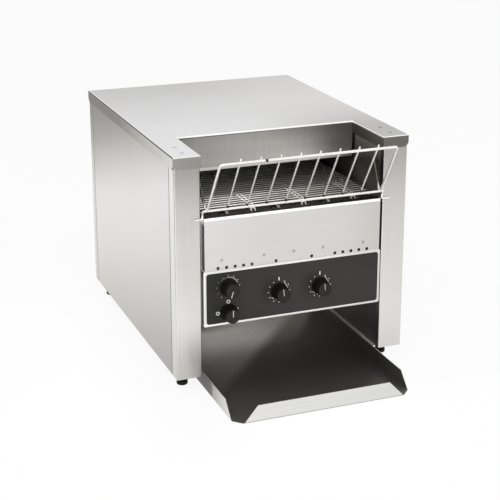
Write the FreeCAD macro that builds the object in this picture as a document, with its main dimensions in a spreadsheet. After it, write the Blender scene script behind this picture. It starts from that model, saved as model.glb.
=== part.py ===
import FreeCAD, Part
import Sketcher
import math
import os

# Conveyor toaster, in millimetres. +Z is up, -Y is the front that the operator faces, X runs across.
# The origin lies on the counter, in the middle of the toaster's whole width and depth.

# Driving sizes: name, value, what it measures
SIZES = (
    # Casing
    ("casing_width", 470.0, "across the top cover"),
    ("casing_depth", 590.0, "column faces to the rear panel's outer face"),
    ("casing_height", 432.0, "casing's bottom edge to the top of the cover"),
    ("sheet", 1.2, "thickness of the stainless sheet"),
    ("cover_gap", 0.3, "between the cover's flanges and the panels inside them"),
    ("bend_radius", 2.0, "outside radius of the sheet bends"),
    ("cover_flange", 23.5, "height of the cover's turned-down edge"),
    ("cover_chamfer", 7.0, "corner relief at the foot of each cover corner"),
    ("cover_slit", 0.9, "open seam at each cover corner"),
    ("arm_width", 51.0, "each arm, from the cover's side to the opening"),
    ("recess_depth", 136.5, "depth of the feed recess behind the column faces"),
    ("recess_drop", 66.0, "height of the plate at the back of the recess"),
    ("recess_lip", 5.4, "flared edge below that plate, along its slope"),
    ("column_return", 30.0, "outer side of each column"),
    ("column_inner_return", 12.0, "inner side of each column"),
    ("rear_return", 25.0, "side of the rear panel"),
    ("panel_seam", 1.2, "dark joint at each side panel's upright edges"),
    ("ledge_stop", 110.0, "from the ledge's end to the rear panel"),
    ("pan_flange", 12.0, "upturned edge of each base pan"),
    ("mark_radius", 3.4, "radius of a stud mark pressed in the sheet"),
    ("mark_depth", 0.5, "depth of a stud mark"),
    ("mark_first", 26.0, "column face to the first stud mark on each arm"),
    ("mark_pitch", 41.5, "between the two stud marks on each arm"),
    ("overrun", 5.0, "how far a cutter passes through what it cuts"),
    ("fit", 0.05, "radial clearance of a running fit"),
    ("seat_gap", 0.3, "least gap between pieces that only rest together"),
    # Feet
    ("foot_height", 28.0, "counter to the casing's bottom edge"),
    ("foot_radius", 10.75, "radius of a foot at the counter"),
    ("foot_neck_radius", 8.5, "radius of a foot under the casing"),
    ("foot_inset", 25.0, "foot centre to the casing's side"),
    ("foot_setback", 43.0, "foot centre to the casing's front or back face"),
    ("stud_radius", 3.0, "foot stud"),
    ("stud_reach", 9.0, "foot stud above the base pan"),
    # Upper front panel
    ("front_panel_gap", 6.0, "dark gap beside the upper front panel"),
    ("front_panel_proud", 3.0, "upper front panel ahead of the columns"),
    ("front_panel_foot", 210.0, "casing's bottom edge to the panel's bottom edge"),
    ("front_panel_drop", 4.3, "upper front panel's top edge below the belt's wire centres"),
    ("front_panel_return", 16.5, "depth of its turned-back edges"),
    ("front_panel_bend", 3.0, "radius of its top bend"),
    ("vent_radius", 3.15, "vent hole"),
    ("vent_rise", 3.6, "vent hole centres above the panel's bottom edge"),
    ("vent_inset", 26.0, "panel's side edge to the outermost vent hole"),
    ("vent_pitch", 16.85, "between vent holes"),
    ("lone_vent", 36.4, "middle to each single vent hole"),
    ("panel_mark_rise", 18.0, "stud marks above the panel's bottom edge"),
    ("panel_mark_near", 60.0, "middle to the nearer stud mark"),
    ("panel_mark_inset", 34.0, "panel's side edge to the farther stud mark"),
    # Control panel and its overlay
    ("control_panel_gap", 3.0, "opening's side to the control panel"),
    ("control_panel_foot", 100.0, "casing's bottom edge to the control panel"),
    ("control_panel_proud", 4.5, "control panel ahead of the columns"),
    ("control_panel_return", 18.5, "depth of its turned-back edges"),
    ("control_corner", 4.5, "corner radius of the control panel"),
    ("overlay_border", 5.3, "control panel's side edge to the black overlay"),
    ("overlay_foot", 5.0, "control panel's bottom edge to the overlay"),
    ("overlay_height", 99.7, "height of the overlay"),
    ("overlay_corner", 5.5, "corner radius of the overlay"),
    ("overlay_sheet", 0.4, "thickness of the overlay"),
    ("control_box_depth", 150.0, "column faces to the back of the control box"),
    ("control_box_height", 115.0, "height of the control box"),
    # Controls
    ("speed_inset", 48.4, "control panel's left edge to the speed knob"),
    ("speed_rise", 74.5, "speed knob above the control panel's bottom edge"),
    ("power_inset", 48.4, "control panel's left edge to the power knob"),
    ("power_rise", 25.0, "power knob above the control panel's bottom edge"),
    ("top_heat_inset", 150.1, "control panel's left edge to the top heat knob"),
    ("bottom_heat_inset", 234.2, "control panel's left edge to the bottom heat knob"),
    ("heat_rise", 52.6, "both heat knobs above the control panel's bottom edge"),
    ("knob_radius", 16.4, "knob at its foot"),
    ("knob_face_radius", 13.6, "knob at its face"),
    ("knob_skirt_radius", 17.0, "thin skirt at the knob's foot"),
    ("knob_skirt", 2.4, "thickness of the skirt"),
    ("knob_length", 26.0, "knob from skirt to face"),
    ("knob_edge", 1.0, "rounding of the knob's face"),
    ("knob_gap", 0.6, "knob to overlay"),
    ("knob_bore", 17.0, "depth of the knob's bore"),
    ("pointer_width", 1.5, "pointer groove"),
    ("pointer_depth", 0.4, "pointer groove"),
    ("pointer_length", 13.0, "pointer groove"),
    ("speed_rest_angle", 197.0, "speed pointer at rest, clockwise from the top, degrees"),
    ("spindle_radius", 3.0, "knob spindle"),
    ("spindle_hole_gap", 0.5, "spindle to the panel's hole"),
    ("spindle_reach", 10.0, "spindle behind the control panel"),
    ("pot_radius", 12.0, "speed potentiometer"),
    ("pot_length", 14.0, "speed potentiometer"),
    ("switch_size", 30.0, "power switch, across and up"),
    ("switch_length", 26.0, "power switch, front to back"),
    ("regulator_size", 36.0, "heat regulator, across and up"),
    ("regulator_length", 30.0, "heat regulator, front to back"),
    # Conveyor belt
    ("belt_gap", 12.0, "opening's side to the wire belt"),
    ("belt_pitch", 12.7, "between belt wires"),
    ("belt_wire_radius", 1.1, "belt wire"),
    ("belt_teeth", 12.0, "teeth of a belt sprocket"),
    ("belt_drop", 116.0, "cover's top to the top run's wire centres"),
    ("belt_rear_gap", 74.0, "least distance from the rear shaft to the rear panel's face"),
    ("belt_front_axis", 46.0, "column faces to the front shaft"),
    ("belt_joint_first", 102.0, "belt's left edge to the first line of wire joints"),
    ("belt_joint_pitch", 103.0, "between lines of wire joints"),
    ("belt_joint_width", 8.0, "width of a wire joint"),
    ("belt_joint_gap", 0.3, "end of a wire joint to the next wire"),
    ("shaft_radius", 6.0, "drive and idler shafts"),
    ("sprocket_width", 5.0, "belt sprocket rim"),
    ("sprocket_gullet", 3.0, "radius of the hollows between a belt sprocket's teeth"),
    ("sprocket_hub_radius", 11.0, "sprocket hub"),
    ("sprocket_hub_width", 14.0, "sprocket hub"),
    ("bushing_radius", 9.0, "shaft bushing in the side frame"),
    ("bushing_flange_radius", 12.0, "flange of a shaft bushing"),
    ("bushing_flange", 2.0, "thickness of that flange"),
    ("bushing_length", 6.0, "shaft bushing, flange to end"),
    ("rail_width", 3.0, "belt rail"),
    ("rail_height", 12.0, "belt rail"),
    ("rail_gap", 0.15, "belt rail to the wires above it"),
    ("rail_inset", 22.0, "belt's edge to the outer rails"),
    ("rail_bar", 8.0, "square cross bar under the rails"),
    ("rail_bar_inset", 50.0, "rail ends to the cross bars"),
    ("rail_shaft_gap", 8.3, "rail ends to the circle that the belt wires follow"),
    # Chain drive
    ("chain_pitch", 6.35, "between chain rollers"),
    ("chain_teeth", 16.0, "teeth of both chain wheels"),
    ("chain_run_links", 24.0, "pitches between the two chain wheels"),
    ("chain_lean", 21.8, "line of the chain wheels from upright, degrees"),
    ("chain_roller_radius", 1.65, "chain roller"),
    ("chain_inner_width", 3.2, "between the chain's inner plates"),
    ("chain_pin_radius", 1.0, "chain pin"),
    ("chain_plate", 0.7, "chain side plate thickness"),
    ("chain_plate_radius", 2.6, "rounded end of a chain side plate"),
    ("chain_offset", 13.0, "side frame's outer face to the chain's middle"),
    ("wheel_width", 2.8, "chain wheel rim"),
    ("wheel_gullet", 1.6, "radius of the hollows between a chain wheel's teeth"),
    ("wheel_hub_radius", 9.0, "chain wheel hub"),
    ("wheel_hub_length", 7.5, "chain wheel hub, from the chain's middle"),
    ("motor_shaft_radius", 4.0, "gearmotor output shaft"),
    ("motor_shaft_hole", 7.0, "hole round that shaft in the side frame"),
    ("bracket_width", 76.0, "motor bracket, front to back"),
    ("bracket_sheet", 2.0, "motor bracket"),
    ("gearbox_length", 40.0, "gearbox, across the toaster"),
    ("gearbox_width", 60.0, "gearbox, front to back and up"),
    ("motor_radius", 24.0, "motor can"),
    ("motor_length", 62.0, "motor can"),
    # Heating chamber
    ("heater_radius", 4.0, "tubular heater"),
    ("heater_reach", 19.0, "heater beyond each side frame"),
    ("terminal_radius", 1.5, "heater terminal pin"),
    ("terminal_reach", 10.0, "heater terminal pin"),
    ("heater_inset", 44.0, "upper reflector's ends to the end heaters"),
    ("upper_heater_rise", 52.0, "upper heaters above the belt's wire centres"),
    ("ceramic_radius", 8.0, "ceramic bushing round a heater"),
    ("ceramic_inner", 2.0, "ceramic bushing inside the side frame"),
    ("ceramic_outer", 4.0, "ceramic bushing outside the side frame"),
    ("guard_wire_radius", 1.25, "heater guard wires"),
    ("guard_cross_radius", 1.5, "heater guard cross wires"),
    ("guard_drop", 8.5, "guard wires below the upper heaters"),
    ("guard_touch", 0.1, "between guard wires and the cross wires that carry them"),
    ("guard_cross_inset", 11.0, "guard wires' ends to the cross wires"),
    ("chamber_front", 142.0, "column faces to the front of the upper reflector"),
    ("chamber_rear_gap", 90.0, "upper reflector to the rear panel's face"),
    ("upper_reflector_rise", 13.0, "upper reflector above the upper heaters"),
    ("upper_reflector_wall", 36.0, "upturned sides of the upper reflector"),
    ("insulation_gap", 0.3, "insulation to the reflector's walls"),
    ("lower_reflector_drop", 17.0, "lower reflector below the lower heaters"),
    ("lower_reflector_wall", 8.0, "upturned sides of the lower reflector"),
    ("thermostat_radius", 12.0, "high limit thermostat"),
    ("thermostat_length", 10.0, "high limit thermostat"),
    # Cooling fan
    ("fan_size", 80.0, "fan frame, front to back and up"),
    ("fan_depth", 25.0, "fan frame, across the toaster"),
    ("fan_bore", 38.0, "fan duct radius"),
    ("fan_tip_gap", 1.2, "blade tips to the duct"),
    ("fan_hub_radius", 14.0, "fan hub"),
    ("fan_strut", 4.0, "fan frame struts"),
    ("fan_pin_radius", 2.0, "fan rotor pin"),
    ("fan_blade", 1.6, "blade thickness"),
    ("fan_blade_pitch", 35.0, "blade angle, degrees"),
    ("fan_setback", 92.0, "column faces to the fan's middle"),
    # Electrics
    ("board_thickness", 1.6, "speed control board"),
    ("board_width", 90.0, "speed control board, across"),
    ("board_depth", 60.0, "speed control board, front to back"),
    ("standoff", 8.0, "board above the control box floor"),
    ("standoff_radius", 3.0, "board standoffs"),
    ("heatsink_height", 28.0, "fins on the board"),
    ("terminal_block_length", 48.0, "terminal block"),
    ("terminal_block_width", 24.0, "terminal block"),
    ("terminal_block_height", 20.0, "terminal block"),
    ("gland_reach", 20.0, "cord gland behind the rear panel"),
    ("gland_radius", 9.0, "gland's threaded body"),
    ("gland_nut_radius", 13.0, "gland nut"),
    ("gland_bore", 4.6, "way through the gland"),
    ("gland_rise", 62.0, "gland above the casing's bottom edge"),
    ("gland_inset", 70.0, "gland to the casing's side"),
    ("screw_radius", 4.0, "screw head on the rear panel"),
    ("screw_head", 2.0, "height of a screw head"),
    ("screw_shank", 2.0, "radius of a screw's shank"),
    ("screw_inset", 14.0, "screws to the rear panel's edge"),
    ("louvre_width", 34.0, "air slots in the rear panel"),
    ("louvre_height", 4.0, "air slots in the rear panel"),
    ("louvre_pitch", 11.0, "between air slots"),
    # Loading rack
    ("rack_rod_radius", 2.4, "rack frame wire"),
    ("rack_wire_radius", 1.6, "rack cross wires"),
    ("rack_hook_radius", 1.8, "rack hooks"),
    ("rack_lean", 32.9, "rack from upright, degrees"),
    ("rack_slope", 123.3, "between the rack's two rods, along its slope"),
    ("rack_bottom_ahead", 9.0, "bottom rod ahead of the column faces"),
    ("rack_bottom_rise", 12.5, "bottom rod above the belt's wire centres"),
    ("rack_top_gap", 11.7, "opening's side to each side wire at the top"),
    ("rack_side_gap", 9.5, "opening's side to each side wire at the bottom"),
    ("rack_wire_tip", 6.0, "cross wires past the top rod"),
    ("rack_weld", 0.6, "how deep the wires melt together"),
    ("rack_corner", 6.0, "bend at the rack's top corners"),
    ("rack_turn", 7.0, "bend where a side wire turns up as the stay"),
    ("rack_turn_drop", 6.5, "that turn's corner below the bottom rod"),
    ("stay_setback", 27.0, "stay ends behind the column faces"),
    ("stay_rise", 52.5, "stay ends above the bottom rod"),
    ("stay_gap", 6.0, "opening's side to each stay at its top"),
    ("stay_bend", 4.0, "bend at the top of each stay"),
    ("stay_reach", 2.5, "stay ends beyond the side frames"),
    ("hook_overlap", 13.0, "hook tips past the opening's sides"),
    ("hook_drop", 17.4, "bottom rod to the hook tips"),
    ("hook_bend", 3.0, "bends of the hooks"),
    # Landing tray and chute
    ("tray_reach", 158.0, "tray's front edge ahead of the column faces"),
    ("tray_gap", 6.0, "opening's side to the tray's side walls"),
    ("tray_wall", 29.5, "height of the tray's side walls"),
    ("tray_corner", 18.0, "cut-off corners of the tray's floor"),
    ("tray_wall_lean", 30.0, "slope of each side wall's front edge"),
    ("tray_lip_lean", 4.0, "slope of the front lip"),
    ("tray_lip_taper", 28.0, "slanted ends of the front lip"),
    ("tray_tail", 10.0, "tray's back edge behind the chute's foot"),
    ("chute_top", 240.0, "casing's bottom edge to the chute's top"),
    ("chute_bend", 214.0, "casing's bottom edge to the chute's bend"),
    ("chute_foot", 4.0, "casing's bottom edge to the chute's foot"),
    ("chute_run", 260.0, "chute's foot to the rear panel's face"),
    ("chute_toe", 12.0, "flat toe of the chute"),
)

# Counts and shares
HEATERS = 4
RAILS = 3
BELT_JOINTS = 3
RACK_WIRES = 8
FAN_BLADES = 7
GUARD_WIRES = 8
ROW_VENTS = 5
REAR_LOUVRES = 6
BLADE_WIDTH_SHARE = 0.62
HEATSINK_FINS = 5
LOUVRE_CENTRE_SHARES = (-0.38, 0.0, 0.38)
CAPACITOR_RADIUS_SHARE = 0.11
GLAND_NUT_SHARE = 0.45
GLAND_DOME_SHARE = 0.55
TERMINAL_SLOT_SHARE = 0.22
KNOB_REST = 0.0

HALF_TURN = 180.0
FULL_TURN = 360.0
SMALL = 0.001

X_AXIS = FreeCAD.Vector(1, 0, 0)
Y_AXIS = FreeCAD.Vector(0, 1, 0)
Z_AXIS = FreeCAD.Vector(0, 0, 1)

PLANE_TURNS = {
    "XY": FreeCAD.Rotation(),
    "XZ": FreeCAD.Rotation(X_AXIS, 90),
    "YZ": FreeCAD.Rotation(FreeCAD.Vector(1, 1, 1), 120),
}
ROD_TURNS = {
    "X": FreeCAD.Rotation(Y_AXIS, 90),
    "Y": FreeCAD.Rotation(X_AXIS, -90),
    "Z": FreeCAD.Rotation(),
}


class Size:
    """A size worked out from the sheet: its number, and the text that binds a property to it."""

    def __init__(self, value, text=None):
        self.value = float(value)
        self.text = repr(self.value) if text is None else text

    def __float__(self):
        return self.value

    def __neg__(self):
        return Size(-self.value, "(-1 * %s)" % self.text)

    def __add__(self, other):
        other = size(other)
        return Size(self.value + other.value, "(%s + %s)" % (self.text, other.text))

    def __sub__(self, other):
        other = size(other)
        return Size(self.value - other.value, "(%s - %s)" % (self.text, other.text))

    def __mul__(self, other):
        other = size(other)
        return Size(self.value * other.value, "(%s * %s)" % (self.text, other.text))

    def __truediv__(self, other):
        other = size(other)
        return Size(self.value / other.value, "(%s / %s)" % (self.text, other.text))

    __radd__ = __add__
    __rmul__ = __mul__

    def __rsub__(self, other):
        return size(other) - self

    def __rtruediv__(self, other):
        return size(other) / self


def size(number):
    return number if isinstance(number, Size) else Size(number)


def sine(angle):
    angle = size(angle)
    return Size(math.sin(math.radians(angle.value)), "sin(%s)" % angle.text)


def cosine(angle):
    angle = size(angle)
    return Size(math.cos(math.radians(angle.value)), "cos(%s)" % angle.text)


def whole(number):
    """The size rounded down to a whole number, such as a count of pitches."""
    number = size(number)
    return Size(math.floor(number.value + SMALL), "floor(%s + %s)" % (number.text, SMALL))


class Names:
    """The sheet's sizes, each under its own name."""


doc = FreeCAD.newDocument("conveyor_toaster")
sheet = doc.addObject("Spreadsheet::Sheet", "Sizes")
mm = Names()
for row, (alias, value, meaning) in enumerate(SIZES, start=1):
    sheet.set("A%d" % row, alias)
    sheet.set("B%d" % row, str(value))
    sheet.set("C%d" % row, meaning)
    sheet.setAlias("B%d" % row, alias)
doc.recompute()
for alias, value, meaning in SIZES:
    setattr(mm, alias, Size(getattr(sheet, alias), "Sizes." + alias))

parts = []


# Building steps

def bind(item, prop, length):
    item.setExpression(prop, size(length).text)


def place(item, x, y, z):
    bind(item, ".Placement.Base.x", x)
    bind(item, ".Placement.Base.y", y)
    bind(item, ".Placement.Base.z", z)


def between(first, second):
    first, second = size(first), size(second)
    return (first, second) if first.value < second.value else (second, first)


def block(name, x, y, z):
    """A box between two values of x, of y and of z."""
    item = doc.addObject("Part::Box", name)
    for prop, ends in (("Length", x), ("Width", y), ("Height", z)):
        low, high = between(*ends)
        bind(item, prop, high - low)
    place(item, between(*x)[0], between(*y)[0], between(*z)[0])
    return item


def on_axis(item, axis, start, at):
    """Stand an item's own Z along an axis, from start, through the other two coordinates."""
    first, second = at
    item.Placement = FreeCAD.Placement(FreeCAD.Vector(), ROD_TURNS[axis])
    if axis == "X":
        place(item, start, first, second)
    elif axis == "Y":
        place(item, first, start, second)
    else:
        place(item, first, second, start)
    return item


def rod(name, axis, ends, at, radius):
    low, high = between(*ends)
    item = doc.addObject("Part::Cylinder", name)
    bind(item, "Radius", radius)
    bind(item, "Height", high - low)
    return on_axis(item, axis, low, at)


def ball(name, x, y, z, radius):
    item = doc.addObject("Part::Sphere", name)
    bind(item, "Radius", radius)
    place(item, x, y, z)
    return item


def sketch_outline(sketch, points):
    """A closed outline of straight lines, each corner bound to the sheet."""
    count = len(points)
    corners = [FreeCAD.Vector(float(first), float(second), 0) for first, second in points]
    for index in range(count):
        sketch.addGeometry(Part.LineSegment(corners[index], corners[(index + 1) % count]))
    for index in range(count):
        sketch.addConstraint(Sketcher.Constraint("Coincident", index, 2, (index + 1) % count, 1))
    for index, (first, second) in enumerate(points):
        for kind, length in (("DistanceX", size(first)), ("DistanceY", size(second))):
            number = sketch.addConstraint(Sketcher.Constraint(kind, -1, 1, index, 1, length.value))
            bind(sketch, "Constraints[%d]" % number, length)


def outline(name, plane, points, ends):
    """An outline in a plane, made solid between two values of the third coordinate."""
    low, high = between(*ends)
    sketch = doc.addObject("Sketcher::SketchObject", name + "_outline")
    sketch_outline(sketch, points)
    sketch.Placement = FreeCAD.Placement(FreeCAD.Vector(), PLANE_TURNS[plane])
    if plane == "XY":
        place(sketch, 0, 0, low)
    elif plane == "XZ":
        place(sketch, 0, high, 0)
    else:
        place(sketch, low, 0, 0)
    item = doc.addObject("Part::Extrusion", name)
    item.Base = sketch
    item.DirMode = "Normal"
    item.Solid = True
    bind(item, "LengthFwd", high - low)
    return item


def turned(name, axis, start, at, profile):
    """A turned body: a profile of (radius, distance along the axis) points, spun about the axis."""
    body = doc.addObject("PartDesign::Body", name + "_body")
    sketch = body.newObject("Sketcher::SketchObject", name + "_profile")
    plane = [item for item in body.Origin.OriginFeatures if item.Role == "XZ_Plane"][0]
    sketch.AttachmentSupport = [(plane, "")]
    sketch.MapMode = "FlatFace"
    sketch_outline(sketch, profile)
    feature = body.newObject("PartDesign::Revolution", name + "_turn")
    feature.Profile = sketch
    feature.ReferenceAxis = (sketch, ["V_Axis"])
    feature.Angle = FULL_TURN
    body.Tip = feature
    return on_axis(body, axis, start, at)


def cut(name, base, tools):
    if len(tools) > 1:
        tools = [fuse(name + "_cutters", tools)]
    item = doc.addObject("Part::Cut", name)
    item.Base = base
    item.Tool = tools[0]
    return item


def fuse(name, pieces):
    item = doc.addObject("Part::MultiFuse", name)
    item.Shapes = pieces
    item.Refine = True
    return item


def group(name, pieces):
    item = doc.addObject("Part::Compound", name)
    item.Links = pieces
    return item


def edges_at(shape, **where):
    """Numbers of the edges whose whole length lies at the given x, y or z."""
    numbers = []
    for number, edge in enumerate(shape.Edges, start=1):
        spots = [vertex.Point for vertex in edge.Vertexes]
        spots.append(edge.valueAt((edge.FirstParameter + edge.LastParameter) / 2))
        if all(abs(getattr(spot, axis) - float(value)) < SMALL
               for axis, value in where.items() for spot in spots):
            numbers.append(number)
    return numbers


def rounded(name, base, radius, places):
    """Round the edges that lie at each of the given places."""
    doc.recompute()
    numbers = sorted({number for where in places for number in edges_at(base.Shape, **where)})
    item = doc.addObject("Part::Fillet", name)
    item.Base = base
    item.Edges = [(number, float(radius), float(radius)) for number in numbers]
    return item


def shaped(name, shape):
    """A piece of bent wire or a repeated link, whose shape is worked out from the sheet's sizes."""
    item = doc.addObject("Part::Feature", name)
    item.Shape = shape
    item.Placement = FreeCAD.Placement()
    return item


def finish(node, item):
    item.Label = node
    parts.append((node, item))
    return item


def vector(x, y, z):
    return FreeCAD.Vector(float(x), float(y), float(z))


def bent_path(corners, radii):
    """Straight runs through the corners, joined by an arc of the given radius at each inner one."""
    edges = []
    start = corners[0]
    for index in range(1, len(corners) - 1):
        corner = corners[index]
        arriving = (corner - corners[index - 1]).normalize()
        leaving = (corners[index + 1] - corner).normalize()
        half_turn = arriving.getAngle(leaving) / 2
        radius = float(radii[index - 1])
        reach = radius * math.tan(half_turn)
        inward = (leaving - arriving).normalize()
        enter = corner - arriving * reach
        leave = corner + leaving * reach
        middle = corner + inward * (radius / math.cos(half_turn) - radius)
        edges.append(Part.LineSegment(start, enter).toShape())
        edges.append(Part.Arc(enter, middle, leave).toShape())
        start = leave
    edges.append(Part.LineSegment(start, corners[-1]).toShape())
    return Part.Wire(edges)


def wire_along(path, first, toward, radius):
    section = Part.Wire([Part.makeCircle(float(radius), first, toward)])
    return path.makePipeShell([section], True, False)


def bent_wire(corners, radii, radius):
    return wire_along(bent_path(corners, radii), corners[0], corners[1] - corners[0], radius)


def straight_wire(first, second, radius):
    return Part.makeCylinder(float(radius), (second - first).Length, first, second - first)


def pressed_mark(name, axis, x, y, z):
    """A ball that sinks a shallow round mark into a face at the given point."""
    radius = (mm.mark_radius * mm.mark_radius + mm.mark_depth * mm.mark_depth) / (2 * mm.mark_depth)
    lift = radius - mm.mark_depth
    if axis == "Z":
        return ball(name, x, y, z + lift, radius)
    return ball(name, x, y - lift, z, radius)


# Places that the pieces share

front_y = (mm.tray_reach - mm.casing_depth - mm.gland_reach) / 2
back_y = front_y + mm.casing_depth
base_z = mm.foot_height
top_z = base_z + mm.casing_height
cover_lap = mm.sheet + mm.cover_gap
cover_half = mm.casing_width / 2
shell_half = cover_half - cover_lap
shell_top = top_z - cover_lap
inside_back = back_y - mm.sheet
inside_front = front_y + mm.bend_radius + mm.cover_gap
opening_half = cover_half - mm.arm_width
frame_inner = opening_half + mm.sheet
frame_outer = frame_inner + mm.sheet
cavity_outer = shell_half - mm.sheet
foot_x = cover_half - mm.foot_inset
recess_y = front_y + mm.recess_depth
belt_radius = mm.belt_pitch / (2 * sine(HALF_TURN / mm.belt_teeth))
belt_half = opening_half - mm.belt_gap
belt_z = top_z - mm.belt_drop
belt_run_links = whole((mm.casing_depth - mm.belt_front_axis - mm.belt_rear_gap) / mm.belt_pitch)
belt_joint_xs = [mm.belt_joint_first - belt_half + mm.belt_joint_pitch * number for number in range(BELT_JOINTS)]
belt_axis_z = belt_z - belt_radius
drive_y = front_y + mm.belt_front_axis
idler_y = drive_y + mm.belt_pitch * belt_run_links
wheel_radius = mm.chain_pitch / (2 * sine(HALF_TURN / mm.chain_teeth))
chain_length = mm.chain_pitch * mm.chain_run_links
motor_y = drive_y + chain_length * sine(mm.chain_lean)
motor_z = belt_axis_z - chain_length * cosine(mm.chain_lean)
chain_x = -frame_outer - mm.chain_offset
upper_heater_z = belt_z + mm.upper_heater_rise
lower_heater_z = belt_axis_z
chamber_y = front_y + mm.chamber_front
chamber_end = back_y - mm.chamber_rear_gap
heater_pitch = (chamber_end - chamber_y - 2 * mm.heater_inset) / (HEATERS - 1)
heater_ys = [chamber_y + mm.heater_inset + heater_pitch * number for number in range(HEATERS)]
panel_face_y = front_y - mm.control_panel_proud
overlay_face_y = panel_face_y - mm.overlay_sheet
control_z = base_z + mm.control_panel_foot
front_panel_z = base_z + mm.front_panel_foot
front_panel_top = belt_z - mm.front_panel_drop
control_half = opening_half - mm.control_panel_gap
fan_y = front_y + mm.fan_setback
fan_z = control_z + mm.control_box_height / 2
stay_y = front_y + mm.stay_setback
rack_z = belt_z + mm.rack_bottom_rise
stay_z = rack_z + mm.stay_rise
tray_half = opening_half - mm.tray_gap
chute_y = back_y - mm.chute_run
knob_places = {
    "speed": (mm.speed_inset - control_half, control_z + mm.speed_rise),
    "power": (mm.power_inset - control_half, control_z + mm.power_rise),
    "top_heat": (mm.top_heat_inset - control_half, control_z + mm.heat_rise),
    "bottom_heat": (mm.bottom_heat_inset - control_half, control_z + mm.heat_rise),
}
SIDES = (("left", -1), ("right", 1))


# Top cover

def top_cover():
    low_z = top_z - mm.cover_flange
    near_y = front_y - cover_lap
    far_y = back_y + cover_lap
    recess_half = opening_half - cover_lap
    slab = block("cover_slab", (-cover_half, cover_half), (near_y, far_y), (low_z, top_z))
    well = block("cover_well", (-recess_half, recess_half), (near_y - mm.overrun, recess_y),
                 (low_z - mm.overrun, top_z + mm.overrun))
    outside = rounded("cover_outside", cut("cover_u", slab, [well]), mm.bend_radius, [{"z": top_z}])
    room = block("cover_room", (mm.sheet - cover_half, cover_half - mm.sheet),
                 (near_y + mm.sheet, far_y - mm.sheet), (low_z - mm.overrun, top_z - mm.sheet))
    wall_half = recess_half + mm.sheet
    wall = block("cover_wall", (-wall_half, wall_half), (near_y - mm.overrun, recess_y + mm.sheet),
                 (low_z - 2 * mm.overrun, top_z + mm.overrun))
    inside = rounded("cover_inside", cut("cover_room_u", room, [wall]),
                     mm.bend_radius - mm.sheet, [{"z": top_z - mm.sheet}])
    shell = cut("cover_shell", outside, [inside])
    foot_z = top_z - mm.recess_drop
    apron = block("cover_apron", (-recess_half, recess_half), (recess_y, recess_y + mm.sheet),
                  (foot_z, low_z))
    reach = mm.recess_lip * sine(45)
    lip = outline("cover_lip", "YZ", [
        (recess_y, foot_z + mm.sheet), (recess_y, foot_z), (recess_y - reach, foot_z - reach),
        (recess_y - reach + mm.sheet, foot_z - reach - mm.sheet), (recess_y + mm.sheet, foot_z - mm.sheet),
        (recess_y + mm.sheet, foot_z + mm.sheet)], (-recess_half, recess_half))
    whole = fuse("cover_whole", [shell, apron, lip])
    cutters = []
    for side, way in SIDES:
        edge = way * cover_half
        for end, face_y, inward in (("front", near_y, 1), ("back", far_y, -1)):
            name = "cover_%s_%s" % (side, end)
            beyond = face_y - inward * mm.overrun
            cutters.append(outline(name + "_side_relief", "YZ", [
                (beyond, low_z - mm.overrun), (face_y + inward * (mm.cover_chamfer + mm.overrun), low_z - mm.overrun),
                (beyond, low_z + mm.cover_chamfer + mm.overrun)],
                (edge - way * (mm.sheet + mm.cover_gap / 2), edge + way * mm.overrun)))
            cutters.append(outline(name + "_face_relief", "XZ", [
                (edge + way * mm.overrun, low_z - mm.overrun),
                (edge - way * (mm.cover_chamfer + mm.overrun), low_z - mm.overrun),
                (edge + way * mm.overrun, low_z + mm.cover_chamfer + mm.overrun)],
                (face_y - inward * mm.overrun, face_y + inward * (mm.sheet + mm.cover_gap / 2))))
            slit_y = face_y + inward * mm.sheet
            cutters.append(block(name + "_slit", (edge - way * (mm.sheet + mm.cover_gap / 2), edge + way * mm.overrun),
                                 (slit_y, slit_y + inward * mm.cover_slit),
                                 (low_z - mm.overrun, top_z - mm.bend_radius)))
        for number in range(2):
            mark_y = front_y + mm.mark_first + mm.mark_pitch * number
            cutters.append(pressed_mark("cover_%s_mark_%d" % (side, number), "Z", way * foot_x, mark_y, top_z))
    finish("top_cover", cut("top_cover", whole, cutters))


# Columns, side frames and panels

def column(side, way):
    outer = way * shell_half
    inner = way * opening_half
    name = side + "_column"
    slab = block(name + "_slab", (inner, outer), (front_y, front_y + mm.column_return), (base_z, shell_top))
    outside = rounded(name + "_outside", slab, mm.bend_radius,
                      [{"x": outer, "y": front_y}, {"x": inner, "y": front_y}])
    room = block(name + "_room", (inner + way * mm.sheet, outer - way * mm.sheet),
                 (front_y + mm.sheet, front_y + mm.column_return + mm.overrun),
                 (base_z - mm.overrun, shell_top + mm.overrun))
    inside = rounded(name + "_inside", room, mm.bend_radius - mm.sheet,
                     [{"x": outer - way * mm.sheet, "y": front_y + mm.sheet},
                      {"x": inner + way * mm.sheet, "y": front_y + mm.sheet}])
    trim = block(name + "_trim", (inner - way * mm.overrun, inner + way * mm.overrun),
                 (front_y + mm.column_inner_return, front_y + mm.column_return + mm.overrun),
                 (base_z - mm.overrun, shell_top + mm.overrun))
    finish(name, cut(name, outside, [inside, trim]))


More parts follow.
